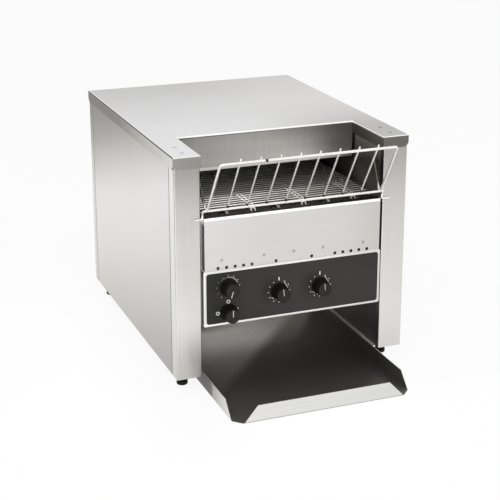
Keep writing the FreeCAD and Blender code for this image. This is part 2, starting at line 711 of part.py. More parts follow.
def side_frame(side, way):
    name = side + "_side_frame"
    inner, outer = way * frame_inner, way * frame_outer
    plate = block(name + "_plate", (inner, outer), (inside_front, inside_back), (base_z, shell_top))
    ledge_y = front_y + mm.column_inner_return + mm.sheet
    ledge = block(name + "_ledge", (way * (tray_half + mm.seat_gap), outer),
                  (ledge_y, inside_back - mm.ledge_stop), (base_z, base_z + mm.sheet))
    through = (inner - way * mm.overrun, outer + way * mm.overrun)
    holes = [rod(name + "_stay_hole", "X", through, (stay_y, stay_z), mm.rack_rod_radius + mm.fit)]
    for shaft, y in (("drive", drive_y), ("idler", idler_y)):
        holes.append(rod(name + "_%s_hole" % shaft, "X", through, (y, belt_axis_z), mm.bushing_radius + mm.fit))
    for number, y in enumerate(heater_ys):
        for level, z in (("upper", upper_heater_z), ("lower", lower_heater_z)):
            holes.append(rod(name + "_%s_hole_%d" % (level, number), "X", through, (y, z),
                             mm.ceramic_radius + mm.fit))
    if way < 0:
        holes.append(rod(name + "_motor_hole", "X", through, (motor_y, motor_z), mm.motor_shaft_hole))
    else:
        holes.append(rod(name + "_fan_hole", "X", through, (fan_y, fan_z), mm.fan_bore))
    finish(name, cut(name, fuse(name + "_blank", [plate, ledge]), holes))


def side_panel(side, way):
    name = side + "_side_panel"
    finish(name, block(name, (way * cavity_outer, way * shell_half),
                       (front_y + mm.column_return + mm.panel_seam, back_y - mm.rear_return - mm.panel_seam),
                       (base_z, shell_top)))


def base_pan(side, way):
    name = side + "_base_pan"
    near_y, far_y = inside_front, back_y - mm.bend_radius - mm.cover_gap
    low, high = way * frame_outer, way * cavity_outer
    slab = block(name + "_slab", (low, high), (near_y, far_y), (base_z, base_z + mm.pan_flange))
    room = block(name + "_room", (low + way * mm.sheet, high - way * mm.sheet),
                 (near_y - mm.overrun, far_y + mm.overrun), (base_z + mm.sheet, base_z + mm.pan_flange + mm.overrun))
    through = (base_z - mm.overrun, base_z + mm.pan_flange)
    holes = [room]
    for end, y in (("front", front_y + mm.foot_setback), ("rear", back_y - mm.foot_setback)):
        holes.append(rod(name + "_%s_stud_hole" % end, "Z", through, (way * foot_x, y),
                         mm.stud_radius + mm.seat_gap))
    slot_half = mm.louvre_width / 2
    middle_x = (low + high) / 2
    for number in range(REAR_LOUVRES):
        y = fan_y + mm.louvre_pitch * (number - (REAR_LOUVRES - 1) / 2)
        holes.append(block(name + "_slot_%d" % number, (middle_x - slot_half, middle_x + slot_half),
                           (y - mm.louvre_height / 2, y + mm.louvre_height / 2), through))
    finish(name, cut(name, slab, holes))


def rear_panel():
    outer = shell_half
    slab = block("rear_slab", (-outer, outer), (back_y - mm.rear_return, back_y), (base_z, shell_top))
    outside = rounded("rear_outside", slab, mm.bend_radius,
                      [{"x": outer, "y": back_y}, {"x": -outer, "y": back_y}])
    room = block("rear_room", (-cavity_outer, cavity_outer),
                 (back_y - mm.rear_return - mm.overrun, inside_back),
                 (base_z - mm.overrun, shell_top + mm.overrun))
    inside = rounded("rear_inside", room, mm.bend_radius - mm.sheet,
                     [{"x": cavity_outer, "y": inside_back}, {"x": -cavity_outer, "y": inside_back}])
    through = (inside_back - mm.overrun, back_y + mm.overrun)
    holes = [inside, rod("rear_gland_hole", "Y", through, gland_place(), mm.gland_radius + mm.fit)]
    slot_half = mm.louvre_width / 2
    for column_number, share in enumerate(LOUVRE_CENTRE_SHARES):
        x = cover_half * 2 * share
        for number in range(REAR_LOUVRES):
            z = top_z - mm.recess_drop - mm.louvre_pitch * number
            holes.append(block("rear_slot_%d_%d" % (column_number, number), (x - slot_half, x + slot_half),
                               through, (z, z + mm.louvre_height)))
    for number, (x, z) in enumerate(screw_places()):
        holes.append(rod("rear_screw_hole_%d" % number, "Y", through, (x, z), mm.screw_shank + mm.seat_gap))
    finish("rear_panel", cut("rear_panel", outside, holes))


def gland_place():
    return (mm.gland_inset - cover_half, base_z + mm.gland_rise)


def screw_places():
    """Screws up both sides of the rear panel and beside the side frames."""
    low_z = base_z + mm.screw_inset
    high_z = shell_top - mm.cover_flange - mm.screw_inset
    places = []
    for way in (-1, 1):
        for level in range(3):
            places.append((way * (shell_half - mm.screw_inset), low_z + (high_z - low_z) * (level / 2)))
    return places


def casing_screws():
    pieces = []
    for number, (x, z) in enumerate(screw_places()):
        name = "casing_screw_%d" % number
        head = rounded(name + "_head", rod(name + "_disc", "Y", (back_y, back_y + mm.screw_head), (x, z), mm.screw_radius),
                       mm.screw_head / 2, [{"y": back_y + mm.screw_head}])
        shank = rod(name + "_shank", "Y", (inside_back - mm.screw_inset / 2, back_y), (x, z), mm.screw_shank)
        pieces.append(fuse(name, [head, shank]))
    finish("casing_screws", group("casing_screws", pieces))


def foot(name, x, y):
    """A turned rubber foot with its steel stud through the base pan."""
    pad = mm.foot_height / 4
    finish(name, turned(name, "Z", 0, (x, y), [
        (0, 0), (mm.foot_radius - mm.sheet, 0), (mm.foot_radius, mm.sheet), (mm.foot_radius, pad),
        (mm.foot_neck_radius, pad + mm.sheet), (mm.foot_neck_radius, mm.foot_height),
        (mm.stud_radius, mm.foot_height), (mm.stud_radius, mm.foot_height + mm.sheet + mm.stud_reach),
        (0, mm.foot_height + mm.sheet + mm.stud_reach)]))


# Front panels and controls

def upper_front_panel():
    half = opening_half - mm.front_panel_gap
    face_y = front_y - mm.front_panel_proud
    tail_y = face_y + mm.front_panel_return
    slab = block("front_panel_slab", (-half, half), (face_y, tail_y), (front_panel_z, front_panel_top))
    outside = rounded("front_panel_outside", slab, mm.front_panel_bend, [{"y": face_y, "z": front_panel_top}])
    room = block("front_panel_room", (mm.sheet - half, half - mm.sheet), (face_y + mm.sheet, tail_y + mm.overrun),
                 (front_panel_z - mm.overrun, front_panel_top - mm.sheet))
    inside = rounded("front_panel_inside", room, mm.front_panel_bend - mm.sheet,
                     [{"y": face_y + mm.sheet, "z": front_panel_top - mm.sheet}])
    shell = cut("front_panel_shell", outside, [inside])
    tabs = [block("front_panel_%s_tab" % side, (way * half - way * mm.sheet, way * frame_inner),
                  (tail_y - mm.sheet, tail_y), (front_panel_z, front_panel_top - mm.front_panel_bend))
            for side, way in SIDES]
    through = (face_y - mm.overrun, face_y + mm.overrun)
    vent_z = front_panel_z + mm.vent_rise
    xs = [mm.lone_vent] + [half - mm.vent_inset - mm.vent_pitch * number for number in range(ROW_VENTS)]
    cutters = []
    for side, way in SIDES:
        for number, x in enumerate(xs):
            cutters.append(rod("front_panel_%s_vent_%d" % (side, number), "Y", through, (way * x, vent_z),
                               mm.vent_radius))
    mark_z = front_panel_z + mm.panel_mark_rise
    far_mark = half - mm.panel_mark_inset
    for number, x in enumerate((-far_mark, -mm.panel_mark_near, size(0), mm.panel_mark_near, far_mark)):
        cutters.append(pressed_mark("front_panel_mark_%d" % number, "Y", x, face_y, mark_z))
    finish("upper_front_panel", cut("upper_front_panel", fuse("front_panel_blank", [shell] + tabs), cutters))


def spindle_holes(name, near_y, far_y):
    return [rod("%s_%s_hole" % (name, knob), "Y", (near_y - mm.overrun, far_y + mm.overrun), at,
                mm.spindle_radius + mm.spindle_hole_gap) for knob, at in knob_places.items()]


def control_panel():
    half = control_half
    tail_y = panel_face_y + mm.control_panel_return
    slab = block("control_slab", (-half, half), (panel_face_y, tail_y), (control_z, front_panel_z))
    corners = [{"x": way * half, "z": z} for way in (-1, 1) for z in (control_z, front_panel_z)]
    outside = rounded("control_outside", rounded("control_round", slab, mm.control_corner, corners),
                      mm.bend_radius, [{"y": panel_face_y}])
    room_x = (mm.sheet - half, half - mm.sheet)
    room_z = (control_z + mm.sheet, front_panel_z - mm.sheet)
    room = block("control_room", room_x, (panel_face_y + mm.sheet, tail_y + mm.overrun), room_z)
    inside = rounded("control_inside", room, mm.control_corner - mm.sheet,
                     [{"x": x, "z": z} for x in room_x for z in room_z])
    shell = cut("control_shell", outside, [inside])
    tab_z = (control_z + mm.control_corner, front_panel_z - mm.control_corner)
    tabs = [block("control_%s_tab" % side, (way * half - way * mm.sheet, way * frame_inner),
                  (tail_y - mm.sheet, tail_y), tab_z) for side, way in SIDES]
    finish("control_panel", cut("control_panel", fuse("control_blank", [shell] + tabs),
                                spindle_holes("control_panel", panel_face_y, panel_face_y + mm.sheet)))
    overlay_half = control_half - mm.overlay_border
    low_z = control_z + mm.overlay_foot
    high_z = low_z + mm.overlay_height
    film = block("overlay_film", (-overlay_half, overlay_half), (overlay_face_y, panel_face_y), (low_z, high_z))
    corners = [{"x": way * overlay_half, "z": z} for way in (-1, 1) for z in (low_z, high_z)]
    finish("control_overlay", cut("control_overlay", rounded("overlay_round", film, mm.overlay_corner, corners),
                                  spindle_holes("overlay", overlay_face_y, panel_face_y)))


def control_box():
    """A folded box behind the control panel that keeps the toast and its heat off the controls."""
    near_y = panel_face_y + mm.control_panel_return
    far_y = front_y + mm.control_box_depth
    high_z = control_z + mm.control_box_height
    slab = block("control_box_slab", (-frame_inner, frame_inner), (near_y, far_y), (control_z, high_z))
    room = block("control_box_room", (-frame_inner - mm.overrun, frame_inner + mm.overrun),
                 (near_y - mm.overrun, far_y - mm.sheet), (control_z + mm.sheet, high_z - mm.sheet))
    notch = block("control_box_notch", (-frame_inner - mm.overrun, frame_inner + mm.overrun),
                  (near_y - mm.overrun, front_y - mm.front_panel_proud + mm.front_panel_return + mm.seat_gap),
                  (front_panel_z - mm.overrun, high_z + mm.overrun))
    finish("control_box", cut("control_box", slab, [room, notch]))


def control_bodies():
    face_y = panel_face_y + mm.sheet
    x, z = knob_places["speed"]
    can = rod("pot_can", "Y", (face_y, face_y + mm.pot_length), (x, z), mm.pot_radius)
    bore = rod("pot_bore", "Y", (face_y - mm.overrun, face_y + mm.spindle_reach + mm.sheet), (x, z),
               mm.spindle_radius + mm.fit)
    finish("speed_potentiometer", cut("speed_potentiometer", can, [bore]))
    x, z = knob_places["power"]
    finish("power_switch", square_body("power_switch", x, z, mm.switch_size, mm.switch_length))
    finish("heat_regulators", group("heat_regulators", [
        square_body("%s_regulator" % name, *knob_places[name], mm.regulator_size, mm.regulator_length)
        for name in ("top_heat", "bottom_heat")]))


def square_body(name, x, z, width, length):
    """A switch body of square section behind the panel, with a bore for its spindle."""
    face_y = panel_face_y + mm.sheet
    half = width / 2
    case = block(name + "_case", (x - half, x + half), (face_y, face_y + length), (z - half, z + half))
    bore = rod(name + "_bore", "Y", (face_y - mm.overrun, face_y + mm.spindle_reach + mm.sheet), (x, z),
               mm.spindle_radius + mm.fit)
    return cut(name, case, [bore])


def knob_and_spindle(knob, rest_angle):
    """A knob on its spindle. The pointer groove on its face is turned clockwise from the top."""
    x, z = knob_places[knob]
    foot_y = overlay_face_y - mm.knob_gap
    face = mm.knob_length
    body = turned(knob + "_knob_turned", "Y", foot_y - face, (x, z), [
        (0, 0), (mm.knob_face_radius - mm.knob_edge, 0), (mm.knob_face_radius, mm.knob_edge),
        (mm.knob_radius, face - mm.knob_skirt), (mm.knob_skirt_radius, face - mm.knob_skirt),
        (mm.knob_skirt_radius, face), (mm.spindle_radius + mm.fit, face),
        (mm.spindle_radius + mm.fit, face - mm.knob_bore), (0, face - mm.knob_bore)])
    half = mm.pointer_width / 2
    start = mm.knob_face_radius - mm.knob_edge - mm.pointer_length
    end = mm.knob_face_radius - mm.knob_edge
    across, up = sine(rest_angle), cosine(rest_angle)
    corners = [(x + across * along + up * aside, z + up * along - across * aside)
               for along, aside in ((start, -half), (end, -half), (end, half), (start, half))]
    groove = outline(knob + "_pointer", "XZ", corners,
                     (foot_y - face - mm.overrun, foot_y - face + mm.pointer_depth))
    finish(knob + "_knob", cut(knob + "_knob", body, [groove]))
    finish(knob + "_spindle", rod(knob + "_spindle", "Y",
                                  (foot_y - mm.knob_bore + mm.seat_gap, panel_face_y + mm.sheet + mm.spindle_reach),
                                  (x, z), mm.spindle_radius))


# Conveyor belt and its shafts

def conveyor_belt():
    """One bent wire for each pitch, stepped round the two sprockets."""
    half = float(belt_half)
    radius = float(mm.belt_wire_radius)
    corners = [FreeCAD.Vector(-half, 0, 0)]
    for joint_x in belt_joint_xs:
        middle = float(joint_x)
        leg = float(mm.belt_joint_width) / 2
        reach = float(mm.belt_pitch - mm.belt_joint_gap - 2 * mm.belt_wire_radius)
        for x, y in ((-leg, 0), (-leg, reach), (leg, reach), (leg, 0)):
            corners.append(FreeCAD.Vector(middle + x, y, 0))
    corners.append(FreeCAD.Vector(half, 0, 0))
    path = Part.makePolygon(corners)
    section = Part.Wire([Part.makeCircle(radius, corners[0], X_AXIS)])
    right_corner = 1
    wire = path.makePipeShell([section], True, False, right_corner)
    teeth = int(round(float(mm.belt_teeth)))
    links = int(round(float(belt_run_links)))
    pitch = float(mm.belt_pitch)
    around = float(belt_radius)
    axis_z = float(belt_axis_z)
    step = FULL_TURN / teeth
    stops = []
    for y, turn, forward in ((float(drive_y), 0.0, 1), (float(idler_y), -HALF_TURN, -1)):
        for number in range(links):
            stops.append((y + forward * pitch * number, axis_z + forward * around, turn))
        last_y = y + forward * pitch * links
        for number in range(teeth // 2):
            angle = math.radians(turn - step * number)
            stops.append((last_y - around * math.sin(angle), axis_z + around * math.cos(angle),
                          turn - step * (number + 0.5)))
    wires = []
    for y, z, angle in stops:
        copy = wire.copy()
        copy.Placement = FreeCAD.Placement(FreeCAD.Vector(0, y, z), FreeCAD.Rotation(X_AXIS, angle))
        wires.append(copy)
    finish("conveyor_belt", shaped("conveyor_belt", Part.makeCompound(wires)))


def toothed_ring(name, x, y, z, width, tip_radius, teeth, gullet_radius, phase):
    """A disc across X with a round hollow between each two teeth. Its tips stay inside the wires or rollers."""
    disc = rod(name + "_disc", "X", (x - width / 2, x + width / 2), (y, z), tip_radius)
    gullets = []
    for number in range(teeth):
        angle = phase + FULL_TURN * number / teeth
        at = (y + tip_radius * sine(angle), z + tip_radius * cosine(angle))
        gullets.append(rod("%s_gullet_%d" % (name, number), "X", (x - width, x + width), at, gullet_radius))
    return disc, gullets


def belt_sprockets(name, y):
    teeth = int(round(float(mm.belt_teeth)))
    pieces = []
    for number, joint_x in enumerate(belt_joint_xs):
        x = joint_x - mm.belt_joint_pitch / 2
        one = "%s_%d" % (name, number)
        disc, gullets = toothed_ring(one, x, y, belt_axis_z, mm.sprocket_width,
                                     belt_radius - mm.belt_wire_radius - mm.seat_gap, teeth, mm.sprocket_gullet, 0.0)
        half = mm.sprocket_hub_width / 2
        hub = rod(one + "_hub", "X", (x - half, x + half), (y, belt_axis_z), mm.sprocket_hub_radius)
        bore = rod(one + "_bore", "X", (x - mm.sprocket_hub_width, x + mm.sprocket_hub_width), (y, belt_axis_z),
                   mm.shaft_radius + mm.fit)
        pieces.append(cut(one, fuse(one + "_blank", [disc, hub]), gullets + [bore]))
    finish(name, group(name, pieces))


def shafts():
    bushing_end = frame_outer + mm.bushing_length - mm.sheet
    left_end = chain_x - mm.wheel_hub_radius
    right_end = bushing_end + mm.shaft_radius / 2
    finish("drive_shaft", rod("drive_shaft", "X", (left_end, right_end), (drive_y, belt_axis_z), mm.shaft_radius))
    finish("idler_shaft", rod("idler_shaft", "X", (-right_end, right_end), (idler_y, belt_axis_z), mm.shaft_radius))
    belt_sprockets("drive_sprockets", drive_y)
    belt_sprockets("idler_sprockets", idler_y)
    pieces = []
    for shaft, y in (("drive", drive_y), ("idler", idler_y)):
        for side, way in SIDES:
            name = "%s_%s_bushing" % (shaft, side)
            at = (y, belt_axis_z)
            flange = rod(name + "_flange", "X", (way * (frame_inner - mm.bushing_flange), way * frame_inner), at,
                         mm.bushing_flange_radius)
            sleeve = rod(name + "_sleeve", "X", (way * (frame_inner - mm.bushing_flange), way * bushing_end), at,
                         mm.bushing_radius)
            bore = rod(name + "_bore", "X", (way * (frame_inner - mm.overrun), way * (bushing_end + mm.overrun)), at,
                       mm.shaft_radius + mm.fit)
            pieces.append(cut(name, fuse(name + "_blank", [flange, sleeve]), [bore]))
    finish("shaft_bushings", group("shaft_bushings", pieces))


def belt_rails():
    """Three rails under the top run, welded to two bars between the side frames."""
    high_z = belt_z - mm.belt_wire_radius - mm.rail_gap
    low_z = high_z - mm.rail_height
    reach = belt_radius + mm.rail_shaft_gap
    near_y, far_y = drive_y + reach, idler_y - reach
    spacing = belt_half - mm.rail_inset
    pieces = []
    for number in range(RAILS):
        x = spacing * (number - (RAILS - 1) / 2)
        pieces.append(block("belt_rail_%d" % number, (x - mm.rail_width / 2, x + mm.rail_width / 2),
                            (near_y, far_y), (low_z, high_z)))
    for end, y in (("front", near_y + mm.rail_bar_inset), ("rear", far_y - mm.rail_bar_inset)):
        pieces.append(block("belt_rail_%s_bar" % end, (-frame_inner, frame_inner),
                            (y - mm.rail_bar / 2, y + mm.rail_bar / 2), (low_z - mm.rail_bar, low_z)))
    finish("belt_rails", group("belt_rails", pieces))


# Chain drive

def chain_wheel(name, y, z, bore_radius):
    teeth = int(round(float(mm.chain_teeth)))
    disc, gullets = toothed_ring(name, chain_x, y, z, mm.wheel_width,
                                 wheel_radius - mm.chain_roller_radius - mm.seat_gap, teeth, mm.wheel_gullet,
                                 HALF_TURN / 2 - mm.chain_lean)
    hub = rod(name + "_hub", "X", (chain_x, chain_x + mm.wheel_hub_length), (y, z), mm.wheel_hub_radius)
    bore = rod(name + "_bore", "X", (chain_x - mm.overrun, chain_x + 2 * mm.wheel_hub_length), (y, z), bore_radius)
    return cut(name, fuse(name + "_blank", [disc, hub]), gullets + [bore])


def chain_drive():
    finish("chain_wheel", chain_wheel("chain_wheel", drive_y, belt_axis_z, mm.shaft_radius + mm.fit))
    finish("motor_sprocket", chain_wheel("motor_sprocket", motor_y, motor_z, mm.motor_shaft_radius + mm.fit))
    finish("motor_shaft", rod("motor_shaft", "X", (chain_x - mm.wheel_hub_radius,
                                                   mm.gearbox_length / 2 - frame_inner + mm.bracket_sheet),
                              (motor_y, motor_z), mm.motor_shaft_radius))
    bracket_x = (-frame_inner, mm.bracket_sheet - frame_inner)
    half = mm.bracket_width / 2
    plate = block("bracket_plate", bracket_x, (motor_y - half, motor_y + half), (motor_z - half, motor_z + half))
    through = (bracket_x[0] - mm.overrun, bracket_x[1] + mm.overrun)
    finish("motor_bracket", cut("motor_bracket", rounded("bracket_round", plate, mm.bracket_sheet, [
        {"y": motor_y + a * half, "z": motor_z + b * half} for a in (-1, 1) for b in (-1, 1)]),
        [rod("bracket_hole", "X", through, (motor_y, motor_z), mm.motor_shaft_hole)]))
    half = mm.gearbox_width / 2
    box_x = (bracket_x[1], bracket_x[1] + mm.gearbox_length)
    case = rounded("gearbox_round", block("gearbox", box_x, (motor_y - half, motor_y + half), (motor_z - half, motor_z + half)),
                   mm.bend_radius * 2, [{"y": motor_y + a * half, "z": motor_z + b * half}
                                        for a in (-1, 1) for b in (-1, 1)])
    can = rod("motor_can", "X", (box_x[1], box_x[1] + mm.motor_length), (motor_y, motor_z), mm.motor_radius)
    bore = rod("gearbox_bore", "X", (box_x[0] - mm.overrun, box_x[0] + mm.gearbox_length / 2 + mm.sheet),
               (motor_y, motor_z), mm.motor_shaft_radius + mm.fit)
    finish("gearmotor", cut("gearmotor", fuse("gearmotor_blank", [case, can]), [bore]))


def rounded_plate(x):
    """A chain side plate that starts at x and reaches over one pitch along +Y from the origin."""
    thick = float(mm.chain_plate)
    radius = float(mm.chain_plate_radius)
    pitch = float(mm.chain_pitch)
    ends = [Part.makeCylinder(radius, thick, FreeCAD.Vector(x, y, 0), X_AXIS) for y in (0.0, pitch)]
    bar = Part.makeBox(thick, pitch, 2 * radius, FreeCAD.Vector(x, 0, -radius))
    return bar.fuse(ends)


def chain_link(outer):
    """An outer link with two pins, or an inner link with the two bushed rollers that the pins pass through."""
    pitch = float(mm.chain_pitch)
    half = float(mm.chain_inner_width) / 2
    thick = float(mm.chain_plate)
    gap = float(mm.fit)
    start = half + thick + gap if outer else half
    reach = start + thick
    pin_radius = float(mm.chain_pin_radius)
    radius = pin_radius if outer else float(mm.chain_roller_radius)
    rounds = [Part.makeCylinder(radius, 2 * reach, FreeCAD.Vector(-reach, y, 0), X_AXIS) for y in (0.0, pitch)]
    link = rounded_plate(-reach).fuse([rounded_plate(start)] + rounds).removeSplitter()
    if not outer:
        link = link.cut([Part.makeCylinder(pin_radius + gap, 4 * reach, FreeCAD.Vector(-2 * reach, y, 0), X_AXIS)
                         for y in (0.0, pitch)])
    return link


def drive_chain():
    """Inner and outer links by turns along both straight runs and half way round both wheels."""
    pitch = float(mm.chain_pitch)
    around = float(wheel_radius)
    teeth = int(round(float(mm.chain_teeth)))
    run_links = int(round(float(mm.chain_run_links)))
    step = FULL_TURN / teeth
    upper = FreeCAD.Vector(float(chain_x), float(drive_y), float(belt_axis_z))
    lower = FreeCAD.Vector(float(chain_x), float(motor_y), float(motor_z))
    down = (lower - upper).normalize()
    side = FreeCAD.Rotation(X_AXIS, 90).multVec(down)
    spots = []
    for centre, way in ((upper, 1), (lower, -1)):
        spots += [centre + side * (way * around) + down * (way * pitch * number) for number in range(run_links)]
        far = centre + down * (way * pitch * run_links)
        spots += [far + FreeCAD.Rotation(X_AXIS, -step * number).multVec(side) * (way * around)
                  for number in range(teeth // 2)]
    links = [chain_link(False), chain_link(True)]
    copies = []
    for number, spot in enumerate(spots):
        along = spots[(number + 1) % len(spots)] - spot
        copy = links[number % 2].copy()
        angle = math.degrees(math.atan2(along.z, along.y))
        copy.Placement = FreeCAD.Placement(spot, FreeCAD.Rotation(X_AXIS, angle))
        copies.append(copy)
    finish("drive_chain", shaped("drive_chain", Part.makeCompound(copies)))


# Heating chamber

def heaters():
    reach = frame_outer + mm.heater_reach
    rings = []
    for level, z in (("upper", upper_heater_z), ("lower", lower_heater_z)):
        pieces = []
        for number, y in enumerate(heater_ys):
            name = "%s_heater_%d" % (level, number)
            tube = rod(name + "_tube", "X", (-reach, reach), (y, z), mm.heater_radius)
            pins = rod(name + "_pins", "X", (-reach - mm.terminal_reach, reach + mm.terminal_reach), (y, z),
                       mm.terminal_radius)
            pieces.append(fuse(name, [tube, pins]))
            for side, way in SIDES:
                ring = "%s_%s_ceramic" % (name, side)
                ends = (way * (frame_inner - mm.ceramic_inner), way * (frame_outer + mm.ceramic_outer))
                rings.append(cut(ring, rod(ring + "_outer", "X", ends, (y, z), mm.ceramic_radius),
                                 [rod(ring + "_bore", "X", (ends[0] - way * mm.overrun, ends[1] + way * mm.overrun),
                                      (y, z), mm.heater_radius + mm.fit)]))
        finish("%s_heaters" % level, group("%s_heaters" % level, pieces))
    finish("heater_bushings", group("heater_bushings", rings))


def heater_guard():
    wire_z = upper_heater_z - mm.guard_drop
    near_y, far_y = chamber_y, chamber_end
    pitch = 2 * opening_half / GUARD_WIRES
    pieces = []
    for number in range(GUARD_WIRES):
        x = pitch * (number - (GUARD_WIRES - 1) / 2)
        pieces.append(rod("guard_wire_%d" % number, "Y", (near_y, far_y), (x, wire_z), mm.guard_wire_radius))
    cross_z = wire_z - mm.guard_wire_radius - mm.guard_cross_radius - mm.guard_touch
    inset = mm.guard_cross_inset
    for end, y in (("front", near_y + inset), ("rear", far_y - inset)):
        pieces.append(rod("guard_%s_cross" % end, "X", (-frame_inner, frame_inner), (y, cross_z),
                          mm.guard_cross_radius))
    finish("heater_guard", group("heater_guard", pieces))


def reflector_pan(name, near_y, far_y, low_z, wall):
    slab = block(name + "_slab", (-frame_inner, frame_inner), (near_y, far_y), (low_z, low_z + wall))
    room = block(name + "_room", (mm.sheet - frame_inner, frame_inner - mm.sheet),
                 (near_y + mm.sheet, far_y - mm.sheet), (low_z + mm.sheet, low_z + wall + mm.overrun))
    return cut(name, slab, [room])


def reflectors():
    near_y, far_y = chamber_y, chamber_end
    low_z = upper_heater_z + mm.upper_reflector_rise
    finish("upper_reflector", reflector_pan("upper_reflector", near_y, far_y, low_z, mm.upper_reflector_wall))
    edge = mm.sheet + mm.insulation_gap
    finish("insulation_blanket", block("insulation_blanket", (edge - frame_inner, frame_inner - edge),
                                       (near_y + edge, far_y - edge),
                                       (low_z + mm.sheet, low_z + mm.upper_reflector_wall)))
    reach = belt_radius + mm.rail_shaft_gap
    finish("lower_reflector", reflector_pan("lower_reflector", drive_y + reach, idler_y - reach,
                                            lower_heater_z - mm.lower_reflector_drop, mm.lower_reflector_wall))


def high_limit_thermostat():
    y = (heater_ys[0] + heater_ys[1]) / 2
    z = upper_heater_z + mm.upper_reflector_rise + mm.thermostat_radius
    ends = (frame_outer, frame_outer + mm.thermostat_length)
    body = rod("thermostat_body", "X", ends, (y, z), mm.thermostat_radius)
    blades = [block("thermostat_blade_%d" % number, (ends[1] - mm.sheet, ends[1] + mm.thermostat_length / 2),
                    (y + way * mm.thermostat_radius / 2, y + way * mm.thermostat_radius / 2 + mm.sheet),
                    (z - mm.thermostat_radius / 4, z + mm.thermostat_radius / 4))
              for number, way in enumerate((-1, 1))]
    finish("high_limit_thermostat", fuse("high_limit_thermostat", [body] + blades))


# Cooling fan and electrics

def cooling_fan():
    """An axial fan on the right side frame that blows into the control box."""
    inner_x = frame_inner - mm.fan_depth
    half = mm.fan_size / 2
    case = rounded("fan_case", block("fan_square", (inner_x, frame_inner), (fan_y - half, fan_y + half),
                                     (fan_z - half, fan_z + half)), mm.fan_strut,
                   [{"y": fan_y + a * half, "z": fan_z + b * half} for a in (-1, 1) for b in (-1, 1)])
    duct = rod("fan_duct", "X", (inner_x - mm.overrun, frame_inner + mm.overrun), (fan_y, fan_z), mm.fan_bore)
    plate_x = (inner_x, inner_x + mm.fan_strut)
    hub = rod("fan_hub_plate", "X", plate_x, (fan_y, fan_z), mm.fan_hub_radius)
    reach = mm.fan_bore + mm.sheet
    struts = [block("fan_strut_y", plate_x, (fan_y - reach, fan_y + reach),
                    (fan_z - mm.fan_strut / 2, fan_z + mm.fan_strut / 2)),
              block("fan_strut_z", plate_x, (fan_y - mm.fan_strut / 2, fan_y + mm.fan_strut / 2),
                    (fan_z - reach, fan_z + reach))]
    ring = cut("fan_ring", case, [duct])
    pin_hole = rod("fan_pin_hole", "X", (inner_x - mm.overrun, plate_x[1] + mm.overrun), (fan_y, fan_z),
                   mm.fan_pin_radius + mm.fit)
    finish("fan_frame", cut("fan_frame", fuse("fan_frame_blank", [ring, hub] + struts), [pin_hole]))
    finish("fan_rotor", shaped("fan_rotor", fan_rotor_shape(inner_x)))


def fan_rotor_shape(inner_x):
    hub_start = float(inner_x + mm.fan_strut + mm.seat_gap)
    hub_end = float(frame_inner - mm.fan_strut / 2)
    centre_y, centre_z = float(fan_y), float(fan_z)
    hub = Part.makeCylinder(float(mm.fan_hub_radius), hub_end - hub_start,
                            FreeCAD.Vector(hub_start, centre_y, centre_z), X_AXIS)
    pin = Part.makeCylinder(float(mm.fan_pin_radius), hub_end - float(inner_x),
                            FreeCAD.Vector(float(inner_x), centre_y, centre_z), X_AXIS)
    tip = float(mm.fan_bore - mm.fan_tip_gap)
    root = float(mm.fan_hub_radius - mm.fan_blade)
    chord = (hub_end - hub_start) / math.cos(math.radians(float(mm.fan_blade_pitch))) * BLADE_WIDTH_SHARE
    blades = []
    for number in range(FAN_BLADES):
        blade = Part.makeBox(chord, float(mm.fan_blade), tip - root,
                             FreeCAD.Vector(-chord / 2, -float(mm.fan_blade) / 2, root))
        blade.rotate(FreeCAD.Vector(), Z_AXIS, float(mm.fan_blade_pitch))
        blade.rotate(FreeCAD.Vector(), X_AXIS, FULL_TURN * number / FAN_BLADES)
        blade.translate(FreeCAD.Vector((hub_start + hub_end) / 2, centre_y, centre_z))
        blades.append(blade)
    return hub.fuse([pin] + blades)


